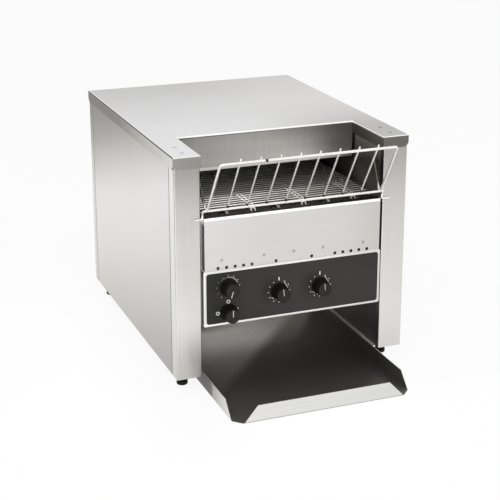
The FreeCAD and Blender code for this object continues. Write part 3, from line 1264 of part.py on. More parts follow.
def electrics():
    low_z = control_z + mm.sheet
    near_y = front_y + mm.control_box_depth - mm.sheet - mm.board_depth - mm.board_thickness * 2
    middle_x = mm.board_width / 2
    board_z = (low_z + mm.standoff, low_z + mm.standoff + mm.board_thickness)
    board_x = (middle_x - mm.board_width / 2, middle_x + mm.board_width / 2)
    pieces = [block("board_plate", board_x, (near_y, near_y + mm.board_depth), board_z)]
    inset = mm.standoff_radius * 2
    for a, x in enumerate((board_x[0] + inset, board_x[1] - inset)):
        for b, y in enumerate((near_y + inset, near_y + mm.board_depth - inset)):
            pieces.append(rod("board_standoff_%d_%d" % (a, b), "Z", (low_z, board_z[0]), (x, y), mm.standoff_radius))
    fin_pitch = mm.board_depth / (HEATSINK_FINS + 2)
    for number in range(HEATSINK_FINS):
        y = near_y + fin_pitch * (number + 1)
        pieces.append(block("board_fin_%d" % number, (board_x[0] + inset * 2, board_x[0] + mm.board_width / 3),
                            (y, y + mm.board_thickness), (board_z[1], board_z[1] + mm.heatsink_height)))
    for number in range(2):
        pieces.append(rod("board_capacitor_%d" % number, "Z", (board_z[1], board_z[1] + mm.heatsink_height / 2),
                          (board_x[1] - mm.board_width / 3, near_y + mm.board_depth * (number + 1) / 3),
                          mm.board_width * CAPACITOR_RADIUS_SHARE / 2))
    finish("speed_control_board", fuse("speed_control_board", pieces))
    block_x = ((-frame_outer - cavity_outer - mm.terminal_block_width) / 2,
               (-frame_outer - cavity_outer + mm.terminal_block_width) / 2)
    block_y = (back_y - mm.foot_setback * 3, back_y - mm.foot_setback * 3 + mm.terminal_block_length)
    block_z = (base_z + mm.sheet, base_z + mm.sheet + mm.terminal_block_height)
    body = block("terminal_body", block_x, block_y, block_z)
    slots = []
    half = mm.terminal_block_length * TERMINAL_SLOT_SHARE / 2
    for number in range(3):
        y = block_y[0] + mm.terminal_block_length * (2 * number + 1) / 6
        slots.append(block("terminal_slot_%d" % number, (block_x[0] - mm.overrun, block_x[1] + mm.overrun),
                           (y - half, y + half),
                           (block_z[1] - mm.terminal_block_height / 3, block_z[1] + mm.overrun)))
    finish("terminal_block", cut("terminal_block", body, slots))


def cord_gland():
    """A gland through the rear panel: nut inside, flange and dome outside, and a bore for the lead."""
    nut = mm.gland_nut_radius
    inner = mm.sheet * 4
    start = inside_back - inner
    seat = inner + mm.sheet
    finish("cord_gland", turned("cord_gland", "Y", start, gland_place(), [
        (mm.gland_bore, 0), (nut, 0), (nut, inner), (mm.gland_radius, inner), (mm.gland_radius, seat),
        (nut, seat), (nut, seat + mm.gland_reach * GLAND_NUT_SHARE),
        (mm.gland_radius, seat + mm.gland_reach * GLAND_DOME_SHARE),
        (mm.gland_radius - mm.sheet, seat + mm.gland_reach), (mm.gland_bore, seat + mm.gland_reach)]))


# Loading rack

def loading_rack():
    """Bent frame wire with stays, a bottom rod with two hooks, and the cross wires welded across them."""
    lean = math.radians(float(mm.rack_lean))
    bottom_y = float(front_y - mm.rack_bottom_ahead)
    bottom_z = float(rack_z)
    up = FreeCAD.Vector(0, -math.sin(lean), math.cos(lean))
    inward = FreeCAD.Vector(0, math.cos(lean), math.sin(lean))
    rod_radius = float(mm.rack_rod_radius)
    top_half, side_half, stay_half, end_half = [float(width) for width in (
        opening_half - mm.rack_top_gap, opening_half - mm.rack_side_gap, opening_half - mm.stay_gap,
        frame_outer + mm.stay_reach)]
    turn_z = bottom_z - float(mm.rack_turn_drop)
    bottom = FreeCAD.Vector(0, bottom_y, bottom_z)
    top = bottom + up * float(mm.rack_slope)
    turn_y = bottom_y + float(mm.rack_turn_drop) * math.tan(lean) - float(mm.rack_weld)
    right = [vector(top_half, top.y, top.z), vector(side_half, turn_y, turn_z),
             vector(stay_half, stay_y, stay_z), vector(end_half, stay_y, stay_z)]
    left = [FreeCAD.Vector(-spot.x, spot.y, spot.z) for spot in reversed(right)]
    radii = (mm.stay_bend, mm.rack_turn, mm.rack_corner, mm.rack_corner, mm.rack_turn, mm.stay_bend)
    pieces = [bent_wire(left + right, radii, rod_radius)]
    half = float(opening_half - mm.front_panel_gap / 2)
    pieces.append(straight_wire(vector(-half, bottom_y, bottom_z), vector(half, bottom_y, bottom_z), rod_radius))
    hook_radius = float(mm.rack_hook_radius)
    hook_y = float(front_y - mm.seat_gap) - hook_radius
    hook_z = bottom_z - float(mm.hook_drop)
    hook_half = float(opening_half + mm.hook_overlap)
    for way in (-1, 1):
        side = way * half
        pieces.append(bent_wire([vector(side, bottom_y + hook_radius, bottom_z),
                                 vector(side, hook_y, (bottom_z + hook_z) / 2),
                                 vector(side, hook_y, hook_z), vector(way * hook_half, hook_y, hook_z)],
                                (mm.hook_bend, mm.hook_bend), hook_radius))
    wire_radius = float(mm.rack_wire_radius)
    lift = inward * (rod_radius + wire_radius - float(mm.rack_weld))
    for number in range(RACK_WIRES):
        across = vector(2 * top_half / (RACK_WIRES + 1) * (number - (RACK_WIRES - 1) / 2), 0, 0)
        first = bottom + across + lift - up * wire_radius
        last = top + across + lift + up * float(mm.rack_wire_tip)
        pieces.append(straight_wire(first, last, wire_radius))
    finish("loading_rack", shaped("loading_rack", pieces[0].multiFuse(pieces[1:])))


# Landing tray and chute

def landing_tray():
    half = tray_half
    near_y = front_y - mm.tray_reach
    shoulder_y = near_y + mm.tray_corner
    tail_y = chute_y + mm.tray_tail
    lip_half = half - mm.tray_corner
    floor = outline("tray_floor", "XY", [
        (-lip_half, near_y), (lip_half, near_y), (half, shoulder_y), (half, tail_y), (-half, tail_y),
        (-half, shoulder_y)], (0, mm.sheet))
    walls = [outline("tray_%s_wall" % side, "YZ", [
        (shoulder_y, 0), (tail_y, 0), (tail_y, mm.tray_wall), (shoulder_y + mm.tray_wall_lean, mm.tray_wall)],
        (way * (half - mm.sheet), way * half)) for side, way in SIDES]
    lip = outline("tray_lip", "YZ", [
        (near_y, 0), (near_y + mm.sheet, 0), (near_y + mm.sheet + mm.tray_lip_lean, mm.tray_wall),
        (near_y + mm.tray_lip_lean, mm.tray_wall)], (-lip_half, lip_half))
    blank = fuse("tray_blank", [floor, lip] + walls)
    cutters = []
    for side, way in SIDES:
        taper = mm.tray_lip_taper / mm.tray_wall
        cutters.append(outline("tray_%s_taper" % side, "XZ", [
            (way * (lip_half + mm.overrun), mm.sheet), (way * lip_half, mm.sheet),
            (way * (lip_half - taper * (mm.tray_wall - mm.sheet + mm.overrun)), mm.tray_wall + mm.overrun),
            (way * (lip_half + mm.overrun), mm.tray_wall + mm.overrun)],
            (near_y - mm.overrun, near_y + mm.sheet + mm.tray_lip_lean + mm.overrun)))
    finish("landing_tray", cut("landing_tray", blank, cutters))


def discharge_chute():
    wall_y = inside_back
    foot_y = chute_y
    toe_y = foot_y - mm.chute_toe
    top_of, bend_z, foot_z = base_z + mm.chute_top, base_z + mm.chute_bend, base_z + mm.chute_foot
    sheet_thick = mm.sheet
    finish("discharge_chute", outline("discharge_chute", "YZ", [
        (wall_y, top_of), (wall_y, bend_z - sheet_thick), (foot_y + sheet_thick, foot_z), (toe_y, foot_z),
        (toe_y, foot_z + sheet_thick), (foot_y, foot_z + sheet_thick), (wall_y - sheet_thick, bend_z),
        (wall_y - sheet_thick, top_of)], (-frame_inner, frame_inner)))


# The whole toaster

def build():
    top_cover()
    for side, way in SIDES:
        column(side, way)
        side_frame(side, way)
        side_panel(side, way)
        base_pan(side, way)
        foot("front_%s_foot" % side, way * foot_x, front_y + mm.foot_setback)
        foot("rear_%s_foot" % side, way * foot_x, back_y - mm.foot_setback)
    rear_panel()
    casing_screws()
    cord_gland()
    upper_front_panel()
    control_panel()
    control_box()
    control_bodies()
    knob_and_spindle("speed", mm.speed_rest_angle)
    for knob in ("power", "top_heat", "bottom_heat"):
        knob_and_spindle(knob, size(KNOB_REST))
    conveyor_belt()
    shafts()
    belt_rails()
    chain_drive()
    drive_chain()
    heaters()
    heater_guard()
    reflectors()
    high_limit_thermostat()
    cooling_fan()
    electrics()
    loading_rack()
    landing_tray()
    discharge_chute()
    doc.recompute()


def check():
    for item in doc.Objects:
        if "Invalid" in item.State or "Error" in item.State:
            raise RuntimeError("%s failed: %s" % (item.Name, item.State))
    for node, item in parts:
        if item.Shape.isNull() or not item.Shape.isValid() or not item.Shape.Solids:
            raise RuntimeError("%s has no sound shape" % node)


def export():
    os.makedirs("parts", exist_ok=True)
    for node, item in parts:
        item.Shape.exportStep("parts/%s.step" % item.Label)
        print("%-24s solids %3d volume %10.1f mm3" % (node, len(item.Shape.Solids), item.Shape.Volume))
    print("%d nodes" % len(parts))


build()
check()
export()
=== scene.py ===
"""Finishes, controls, wire details and studio for the conveyor toaster.

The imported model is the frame: its nodes keep their shapes and get their finishes here. New pieces are dial
marks, knobs, pointers, stud marks, weld beads, screws and the folded tray.
"""

import math

import bmesh
import bpy
from mathutils import Matrix, Vector


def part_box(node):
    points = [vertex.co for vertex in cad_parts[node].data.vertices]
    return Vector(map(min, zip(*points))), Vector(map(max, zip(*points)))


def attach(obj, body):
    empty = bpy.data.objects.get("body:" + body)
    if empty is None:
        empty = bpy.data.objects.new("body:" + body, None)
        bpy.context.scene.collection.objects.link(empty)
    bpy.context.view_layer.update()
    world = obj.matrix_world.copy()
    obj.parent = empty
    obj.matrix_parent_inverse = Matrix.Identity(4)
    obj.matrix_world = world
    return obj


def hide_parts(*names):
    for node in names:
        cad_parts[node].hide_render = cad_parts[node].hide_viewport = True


bl_info = {
    "name": "Conveyor Toaster",
    "version": (1, 0, 0),
    "blender": (4, 5, 0),
    "location": "3D View > Sidebar > Toaster",
    "description": "Finishes, controls and studio for a conveyor toaster",
    "category": "Object",
}

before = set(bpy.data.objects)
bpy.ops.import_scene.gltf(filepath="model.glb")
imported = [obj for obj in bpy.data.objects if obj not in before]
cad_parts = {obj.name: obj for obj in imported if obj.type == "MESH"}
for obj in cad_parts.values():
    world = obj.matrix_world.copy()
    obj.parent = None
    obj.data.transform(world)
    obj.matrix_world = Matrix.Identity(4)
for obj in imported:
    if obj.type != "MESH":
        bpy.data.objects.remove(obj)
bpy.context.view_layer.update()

CASING = "casing"
MM = 0.001
RIGHT, LEFT = (1, 0, 0), (-1, 0, 0)
REAR, FRONT = (0, 1, 0), (0, -1, 0)
UP = (0, 0, 1)
WHOLE_TURN = 2 * math.pi


# Places read from the frame

def middle_of(node):
    low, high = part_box(node)
    return (Vector(low) + Vector(high)) / 2


COVER_LOW, COVER_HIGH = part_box("top_cover")
COVER_HALF, COVER_TOP = COVER_HIGH[0], COVER_HIGH[2]
COLUMN_LOW, COLUMN_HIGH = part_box("right_column")
RECESS_HALF, COLUMN_FRONT, COLUMN_BACK = COLUMN_LOW[0], COLUMN_LOW[1], COLUMN_HIGH[1]
RECESS_DEPTH = 136.5 * MM
RECESS_BACK = COLUMN_FRONT + RECESS_DEPTH
PANEL_LOW, PANEL_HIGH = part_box("upper_front_panel")
CONTROL_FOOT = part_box("control_panel")[0][2]
FILM_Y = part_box("control_overlay")[0][1]
KNOBS = {name: middle_of(name + "_knob") for name in ("speed", "power", "top_heat", "bottom_heat")}
HEAT_LEAN = math.radians(-6)
POINTERS = {"speed": math.radians(197), "power": 0.0, "top_heat": HEAT_LEAN, "bottom_heat": HEAT_LEAN}


def srgb(text):
    """A colour written as six hexadecimal digits, as linear red, green and blue."""
    levels = [int(text[place:place + 2], 16) / 255 for place in (0, 2, 4)]
    return tuple(level / 12.92 if level <= 0.04045 else ((level + 0.055) / 1.055) ** 2.4 for level in levels)


# Sizes and colours a user would change

def colour_setting(name, description, colour):
    return bpy.props.FloatVectorProperty(
        name=name, description=description, subtype="COLOR", size=3, min=0, max=1, default=srgb(colour))


def length_setting(name, description, default, least, most, precision=5):
    return bpy.props.FloatProperty(
        name=name, description=description, subtype="DISTANCE", unit="LENGTH", min=least, max=most,
        default=default, precision=precision)


def power_setting(name, description, default, most):
    return bpy.props.FloatProperty(
        name=name, description=description, subtype="POWER", min=0, max=most, default=default, precision=3)


class ToasterSteel(bpy.types.PropertyGroup):
    tint: colour_setting("Sheet tint", "Multiplies the greys of the brushed sheets", "FFFFFF")
    wire_colour: colour_setting("Bright wire", "Polished wire of the rack", "F0EEEA")
    # Painted shade: the stays inside the recess get a darker copy of the rack's wire colour.
    stay_shade_colour: colour_setting("Stays", "Wire of the rack's stays, inside the recess", "55504A")
    weld_colour: colour_setting("Weld tint", "Heat tint of the wire welds", "2E1E14")
    roughness: bpy.props.FloatProperty(
        name="Roughness", description="Roughness of the brushed sheets", subtype="FACTOR", min=0, max=1,
        default=0.34)
    grain: length_setting("Grain depth", "Height of the brushing lines", 0.03 * MM, 0, 1 * MM, 6)


class ToasterControls(bpy.types.PropertyGroup):
    knob_colour: colour_setting("Knobs", "Plastic of the knobs", "0E0E0D")
    # Painted sheen: the knob faces are coloured paler than the knob body.
    face_sheen_colour: colour_setting("Knob faces", "Worn sheen of the knobs' faces", "252423")
    film_colour: colour_setting("Overlay", "Film behind the knobs", "2F2E2C")
    ink_colour: colour_setting("Ink", "Ink of the marks round the power and heat knobs", "D8D7D2")
    flutes: bpy.props.IntProperty(
        name="Flutes", description="Grip flutes round each knob", min=6, max=60, default=30)
    flute_depth: length_setting("Flute depth", "Depth of a grip flute", 0.35 * MM, 0, 2 * MM)
    dial_radius: length_setting(
        "Dial radius", "From a heat knob's middle to its dots", 21.7 * MM, 15 * MM, 30 * MM)
    dot_radius: length_setting("Dot radius", "Radius of a dial dot", 0.95 * MM, 0.2 * MM, 2 * MM)
    ink_height: length_setting("Ink height", "Thickness of the printed marks", 0.15 * MM, 0.05 * MM, 0.5 * MM)


class ToasterStage(bpy.types.PropertyGroup):
    floor_colour: colour_setting("Floor", "Pale floor", "F8F8F8")
    floor_size: length_setting("Floor size", "Width of the floor", 24.0, 1, 60, 2)
    sky: bpy.props.FloatProperty(
        name="Sky", description="Strength of the even light from all round", min=0, max=2, default=0.62)
    key_power: power_setting("Key lamp", "Power of the large lamp above the front", 26.0, 500)
    low_power: power_setting("Low lamp", "Power of the lamp that shines into the openings", 28.0, 500)
    bay_power: power_setting("Bay lamp", "Power of the small lamp above the tray's rear", 0.25, 20)
    belt_power: power_setting("Belt lamp", "Power of the small lamp above the recess", 2.4, 20)
    lens: bpy.props.FloatProperty(
        name="Lens", description="Focal length of the camera", subtype="DISTANCE_CAMERA", unit="CAMERA",
        min=20, max=300, default=93.848)


# Finishes

class Finish:
    """A material's or world's node tree, built one node at a time. Its tones follow a CAD node's box."""

    def __init__(self, name, node=None, world=False):
        self.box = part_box(node) if node else None
        self.owner = (bpy.data.worlds if world else bpy.data.materials).new(name)
        self.owner.use_nodes = True
        self.tree = self.owner.node_tree
        self.tree.nodes.clear()
        self.output = self.tree.nodes.new("ShaderNodeOutputWorld" if world else "ShaderNodeOutputMaterial")

    def node(self, kind, **settings):
        """A new node. A setting is an input socket, named with underscores, or else an attribute."""
        node = self.tree.nodes.new(kind)
        for name, value in settings.items():
            if not self.put(node, name.replace("_", " "), value):
                setattr(node, name, value)
        return node

    def put(self, node, name, value):
        """Feeds an input socket, if the node has it. Names are matched without regard to case."""
        for socket in node.inputs:
            if socket.name.lower() == name.lower() and socket.enabled:
                self.feed(socket, value)
                return True
        return False

    def feed(self, socket, value):
        """Links a socket to another or sets it. A colour has six hexadecimal digits or three parts."""
        if isinstance(value, bpy.types.NodeSocket):
            self.tree.links.new(value, socket)
            return
        if socket.type == "RGBA":
            value = (*(srgb(value) if isinstance(value, str) else value[:3]), 1)
        socket.default_value = value

    def place(self, scale=(1, 1, 1)):
        """Object coordinates, scaled."""
        where = self.node("ShaderNodeTexCoord").outputs["Object"]
        return self.node("ShaderNodeMapping", vector=where, scale=scale).outputs["Vector"]

    def noise(self, where, scale=1.0, detail=3.0, rough=0.55):
        node = self.node("ShaderNodeTexNoise", vector=where, scale=scale, detail=detail, roughness=rough)
        return node.outputs["Fac"]

    def spread(self, value, low, high, first=0.0, last=1.0):
        """Maps low..high to first..last, without going past either."""
        node = self.node("ShaderNodeMapRange", clamp=True, value=value, from_min=low, from_max=high,
                         to_min=first, to_max=last)
        return node.outputs["Result"]

    def dapple(self, noise, least, most=1.0):
        """Turns a noise into values between two, which its common range reaches."""
        return self.spread(noise, 0.3, 0.7, least, most)

    def between(self, factor, first, last):
        """The first value where the factor is 0 and the last where it is 1."""
        return self.spread(factor, 0.0, 1.0, first, last)

    def measure(self, operation, output, vector):
        """A number worked out from a fixed vector and an output of the coordinates."""
        node = self.node("ShaderNodeVectorMath", operation=operation)
        where = self.node("ShaderNodeTexCoord").outputs[output]
        for socket, value in zip(node.inputs, (where, vector)):
            self.feed(socket, value)
        return node.outputs["Value"]

    def along(self, direction):
        """How far a place on the surface lies along a direction, in metres."""
        return self.measure("DOT_PRODUCT", "Object", direction)

    def distance(self, point):
        """How far a place on the surface is from a point, in metres."""
        return self.measure("DISTANCE", "Object", point)

    def facing(self, direction, low=0.55, high=0.9):
        """1 where the surface looks along a direction, 0 where it looks elsewhere."""
        return self.spread(self.measure("DOT_PRODUCT", "Normal", direction), low, high)

    def past(self, direction, place, soft=0.4 * MM):
        """0 before a place along a direction and 1 past it, with a soft edge."""
        return self.spread(self.along(direction), place - soft, place + soft)

    def before(self, direction, place, soft=0.4 * MM):
        """1 before a place along a direction and 0 past it, with a soft edge."""
        return self.spread(self.along(direction), place - soft, place + soft, 1.0, 0.0)

    def within(self, direction, start, end, soft=0.4 * MM):
        """1 between two places along a direction, with soft edges."""
        return self.times(self.past(direction, start, soft), self.before(direction, end, soft))

    def maths(self, operation, first, second):
        node = self.node("ShaderNodeMath", operation=operation)
        for socket, value in zip(node.inputs, (first, second)):
            self.feed(socket, value)
        return node.outputs["Value"]

    def times(self, first, second):
        return self.maths("MULTIPLY", first, second)

    def ramp(self, direction, stops, colour_of):
        """Colours at shares of the way from the box's lowest corner to its highest, smoothly joined."""
        low, high = (Vector(direction).dot(Vector(corner)) for corner in self.box)
        first, last = stops[0][0], stops[-1][0]
        place = self.spread(self.along(direction), low + first * (high - low), low + last * (high - low))
        ramp = self.node("ShaderNodeValToRGB", fac=place)
        ramp.color_ramp.interpolation = "B_SPLINE" if len(stops) > 3 else "EASE"
        while len(ramp.color_ramp.elements) < len(stops):
            ramp.color_ramp.elements.new(0.5)
        for element, (share, value) in zip(ramp.color_ramp.elements, stops):
            element.position = (share - first) / (last - first)
            element.color = (*colour_of(value), 1)
        return ramp.outputs["Color"]

    def tone(self, direction, stops):
        """A factor that changes over the box: stops are (share, factor) pairs in rising order."""
        return self.ramp(direction, stops, lambda factor: (factor, factor, factor))

    def greys(self, direction, stops):
        """A colour that changes over the box: stops are (share, hexadecimal) pairs in rising order."""
        return self.ramp(direction, stops, srgb)

    def mix(self, kind, factor, first, second):
        node = self.node("ShaderNodeMix", data_type="RGBA", blend_type=kind, clamp_result=False)
        sockets = [one for one in node.inputs if one.type == "RGBA"]
        for socket, value in zip([node.inputs["Factor"], *sockets], (factor, first, second)):
            self.feed(socket, value)
        return [one for one in node.outputs if one.type == "RGBA"][0]

    def blend(self, factor, first, second):
        """The first colour where the factor is 0 and the second where it is 1."""
        return self.mix("MIX", factor, first, second)

    def tint(self, colour, factors):
        """A colour multiplied by each factor in turn."""
        for factor in factors:
            colour = self.mix("MULTIPLY", 1.0, colour, factor)
        return colour

    def bump(self, height, distance):
        return self.node("ShaderNodeBump", height=height, distance=distance, strength=1.0).outputs["Normal"]

    def close(self, **sockets):
        """Ends the tree in a Principled shader."""
        shader = self.node("ShaderNodeBsdfPrincipled", **sockets)
        return self.end(shader.outputs["BSDF"])

    def end(self, surface):
        self.feed(self.output.inputs["Surface"], surface)
        return self.owner


GRAINS = {"X": (5.0, 420.0, 420.0), "Y": (420.0, 5.0, 420.0), "Z": (420.0, 420.0, 5.0)}
FINE_GRAIN = 3
FOLD_GREY = "6E6C66"


def brushed_steel(node, name, tones, grain, steel, roughness=None, streak=0.05, metallic=1.0):
    """Brushed stainless sheet: the tones of its faces, fine streaks along the grain, and faint clouds."""
    finish = Finish(name, node)
    rough = steel.roughness if roughness is None else roughness
    streaks = finish.noise(finish.place(scale=GRAINS[grain]), 1.0, 4.0, 0.65)
    clouds = finish.noise(finish.place(), 9.0, 3.0)
    colour = tones(finish) if callable(tones) else tones
    factors = [steel.tint, finish.spread(streaks, 0.25, 0.75, 1 - streak, 1.0), finish.dapple(clouds, 0.975)]
    fine_lines = finish.noise(finish.place(scale=[FINE_GRAIN * size for size in GRAINS[grain]]))
    return finish.close(
        base_color=finish.tint(colour, factors),
        metallic=metallic(finish) if callable(metallic) else metallic,
        roughness=finish.spread(streaks, 0.25, 0.75, rough - 0.05, rough + 0.08),
        normal=finish.bump(fine_lines, steel.grain))


# Tones of the sheets, face by face: painted reflections, highlights and shade

SHEEN = (0, 0.31, 1)
SLANT = (1, 0, 1.5)


def cover_tones(finish):
    """Painted reflections: pale top that fades to the rear and the right arm, with darker edges and a bright
    lip in the recess.
    """
    lip_top = COVER_LOW[2] + 6.2 * MM
    colour = finish.blend(finish.facing(UP, 0.7, 0.95), "C4C2BE", cover_top_tones(finish))
    colour = finish.blend(finish.facing(LEFT, 0.3, 0.6), colour, cover_side_tones(finish))
    inward = finish.tone(REAR, ((0.046, 0.0), (0.215, 1.0)))
    front = finish.blend(inward, cover_arm_tones(finish), recess_plate_tones(finish))
    colour = finish.blend(finish.facing(FRONT, 0.3, 0.6), colour, front)
    lip = finish.greys(RIGHT, ((0.117, "BDBAB5"), (0.606, "C2BFBC"), (0.883, "9C9993")))
    return finish.blend(finish.before(UP, lip_top), corner_notch_shade(finish, colour), lip)


def cover_top_tones(finish):
    # Painted reflection: the top's greys change from the left to the right arm and from front to rear.
    left = finish.greys(REAR, (
        (0.0, "E6E6E6"), (0.249, "E0E0E0"), (0.451, "DCDCDC"), (0.721, "D1CFCF"), (1.0, "BEBDBC")))
    right = finish.greys(REAR, (
        (0.0, "BAB8B6"), (0.164, "B3B1AF"), (0.299, "C8C7C5"), (0.451, "D5D3D1"), (0.586, "D9D7D6"),
        (0.721, "D6D5D4"), (1.0, "CAC8C7")))
    top = finish.blend(finish.tone(RIGHT, ((0.372, 0.0), (0.947, 1.0))), left, right)
    # Painted dark reflection line along the top beside the recess's right edge.
    recess_edge_line_start, recess_edge_line_end = RECESS_HALF + 0.3 * MM, RECESS_HALF + 1.9 * MM
    recess_edge_dark_line = finish.times(finish.within(RIGHT, recess_edge_line_start, recess_edge_line_end), finish.before(REAR, RECESS_BACK))
    top = finish.blend(finish.times(recess_edge_dark_line, 0.7), top, "55534F")
    # Painted highlight: a white line along the top's left edge, by the bend.
    rim_start, rim_end = 0.7 * MM - COVER_HALF, 3.2 * MM - COVER_HALF
    return finish.blend(finish.times(finish.within(RIGHT, rim_start, rim_end), 0.85), top, "FDFDFD")


def cover_side_tones(finish):
    """Painted reflections on the turned-down edges, and on the inner edges of the recess, which shine at the
    top.
    """
    bend = COVER_TOP - 2.8 * MM
    side = finish.greys(REAR, (
        (0.0, "E0E0DE"), (0.131, "CAC9C6"), (0.299, "BAB8B4"), (0.485, "8E8C88"), (0.637, "6F6D69"),
        (1.0, "6A6865")))
    # Painted dark reflection band just below the bend.
    side = finish.blend(finish.past(UP, bend), side, "5C5A56")
    inner = finish.greys(UP, ((0.578, "54514D"), (0.937, "736F69"), (0.965, "FFFFFF")))
    return finish.blend(finish.tone(RIGHT, ((0.074, 0.0), (0.117, 1.0))), side, inner)


def cover_arm_tones(finish):
    # Painted reflections on the arms' front flanges, and a painted highlight on the bend above them.
    bend = COVER_TOP - 1.8 * MM
    arms = finish.greys(RIGHT, ((0.011, "8B8985"), (0.287, "82807C"), (0.713, "716E6A"), (0.989, "6D6A65")))
    return finish.blend(finish.past(UP, bend), arms, "F2F2F0")


def recess_plate_tones(finish):
    """The recess's back plate, with painted reflections: darker to the right and the top, and a painted dark
    reflection line below its bright bend, which is a painted highlight.
    """
    plate_line_start, plate_line_end, bend = COVER_TOP - 5.2 * MM, COVER_TOP - 3.4 * MM, COVER_TOP - 3.2 * MM
    plate = finish.greys(SLANT, (
        (0.263, "A5A39F"), (0.402, "BBB8B4"), (0.506, "C0BEB9"), (0.592, "BDBBB6"), (0.679, "A6A39E"),
        (0.783, "8C8882"), (0.887, "7E7A74")))
    upright_lines = finish.noise(finish.place(scale=(700.0, 700.0, 12.0)), 1.0, 3.0, 0.6)
    plate = finish.tint(plate, [
        finish.dapple(upright_lines, 0.86),
        finish.tone(UP, ((0.155, 0.99), (0.507, 0.80), (0.93, 0.63))),
        finish.tone(RIGHT, ((0.67, 1.0), (0.879, 0.58)))])
    fade = finish.tone(RIGHT, ((0.117, 0.75), (0.883, 0.15)))
    # Painted dark reflection line below the bend, fading to the right.
    plate_dark_line = finish.times(finish.within(UP, plate_line_start, plate_line_end), fade)
    plate = finish.blend(plate_dark_line, plate, "3A3835")
    return finish.blend(finish.past(UP, bend), plate, "FAFAF8")


def corner_notch_shade(finish, colour):
    """Painted shade in round notches at the foot of the cover's corners."""
    front = (COVER_LOW[1] + 4.7 * MM, COVER_TOP - 21.8 * MM)
    rear = (COVER_HIGH[1] - 2.3 * MM, COVER_TOP - 17.5 * MM)
    inner, outer = 1.8 * MM, 2.6 * MM
    for x in (-COVER_HALF, COVER_HALF):
        for y, z in (front, rear):
            notch = finish.spread(finish.distance((x, y, z)), inner, outer, 1.0, 0.0)
            colour = finish.blend(notch, colour, "2E2C29")
    return colour


def cover_mirror(finish):
    """The recess's back plate is duller than the rest of the cover."""
    start, end = RECESS_BACK - 30 * MM, RECESS_BACK + 10 * MM
    plate = finish.times(finish.within(REAR, start, end, 1 * MM), finish.facing(FRONT))
    return finish.between(plate, 1.0, 0.6)


def left_panel_tones(finish):
    """Painted reflection: a broad bright band from the lower rear to the upper front, dark at the upper rear.
    """
    seam_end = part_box("left_side_panel")[0][1] + 0.3 * MM
    sheet = finish.greys(SHEEN, (
        (0.021, "ABA9A6"), (0.088, "B5B3B0"), (0.189, "C6C4C0"), (0.306, "D4D3CF"), (0.424, "E3E2DF"),
        (0.575, "EDECEA"), (0.659, "E7E6E4"), (0.776, "BCBBB7"), (0.86, "98968F"), (0.961, "827F79")))
    return finish.blend(finish.times(finish.before(REAR, seam_end), 0.8), sheet, FOLD_GREY)


def right_panel_tones(finish):
    # Painted reflection along the same slant as the left panel's band.
    return finish.greys(SHEEN, (
        (-0.03, "B0AEAA"), (0.189, "C6C4C0"), (0.424, "D3D2CF"), (0.575, "D9D8D5"), (0.776, "BDBCB8"),
        (0.961, "A4A29E")))


def rear_panel_tones(finish):
    """Even back, with painted reflections on the side returns that follow the left panel."""
    seam_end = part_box("rear_panel")[0][1] + 2.8 * MM
    side = finish.greys(UP, (
        (0.051, "D8D7D5"), (0.4, "E6E5E3"), (0.632, "DAD9D6"), (0.771, "ABA9A4"), (0.934, "827F79")))
    side = finish.blend(finish.times(finish.before(REAR, seam_end), 0.7), side, FOLD_GREY)
    return finish.blend(finish.facing(LEFT), "C9C8C4", side)


def left_column_tones(finish):
    """Painted reflections on the bright face and side, a painted dark reflection on the fold line that fades
    downwards, and painted shade on the side towards the opening.
    """
    fold_end, seam_start = COLUMN_FRONT + 2.5 * MM, COLUMN_BACK - 3 * MM
    fade_start, fade_end = 120 * MM, 420 * MM
    face = finish.greys(UP, (
        (0.005, "BBB9B5"), (0.121, "D5D3CF"), (0.237, "DFDEDB"), (0.33, "D7D6D3"), (0.446, "CECDC9"),
        (0.632, "C7C5C2"), (0.771, "BAB8B5"), (0.864, "A9A7A3"), (0.957, "928F8B")))
    side = finish.greys(UP, (
        (0.005, "CDCBC7"), (0.167, "DFDFDA"), (0.353, "E6E6E2"), (0.585, "EAEAE7"), (0.864, "F6F6F3"),
        (0.957, "E3E3E0")))
    fade = finish.spread(finish.along(UP), fade_start, fade_end, 0.2, 1.0)
    fold = finish.times(finish.before(REAR, fold_end), fade)
    seam = finish.maths("MAXIMUM", fold, finish.past(REAR, seam_start))
    side = finish.blend(finish.times(seam, 0.6), side, FOLD_GREY)
    inner = finish.greys(UP, ((0.005, "3A3937"), (0.725, "55524E"), (0.957, "6B6863")))
    side = finish.blend(finish.tone(RIGHT, ((0.677, 0.0), (0.879, 1.0))), side, inner)
    return finish.blend(finish.facing(FRONT, 0.8, 0.98), side, face)


def right_column_tones(finish):
    # Painted reflections on the face, and painted shade on the side towards the opening.
    face = finish.greys(UP, (
        (0.005, "D5D3CF"), (0.144, "DFDEDA"), (0.307, "DCDBD7"), (0.492, "D6D5D1"), (0.678, "CECCC9"),
        (0.771, "C5C3BF"), (0.864, "B6B4B0"), (0.957, "ABA9A5")))
    inner = finish.greys(UP, ((0.005, "6E6C68"), (0.725, "4A4743"), (0.957, "3C3936")))
    outward = finish.tone(RIGHT, ((0.121, 0.0), (0.727, 1.0)))
    side = finish.blend(outward, inner, "B9B7B3")
    return finish.blend(finish.facing(FRONT), side, face)


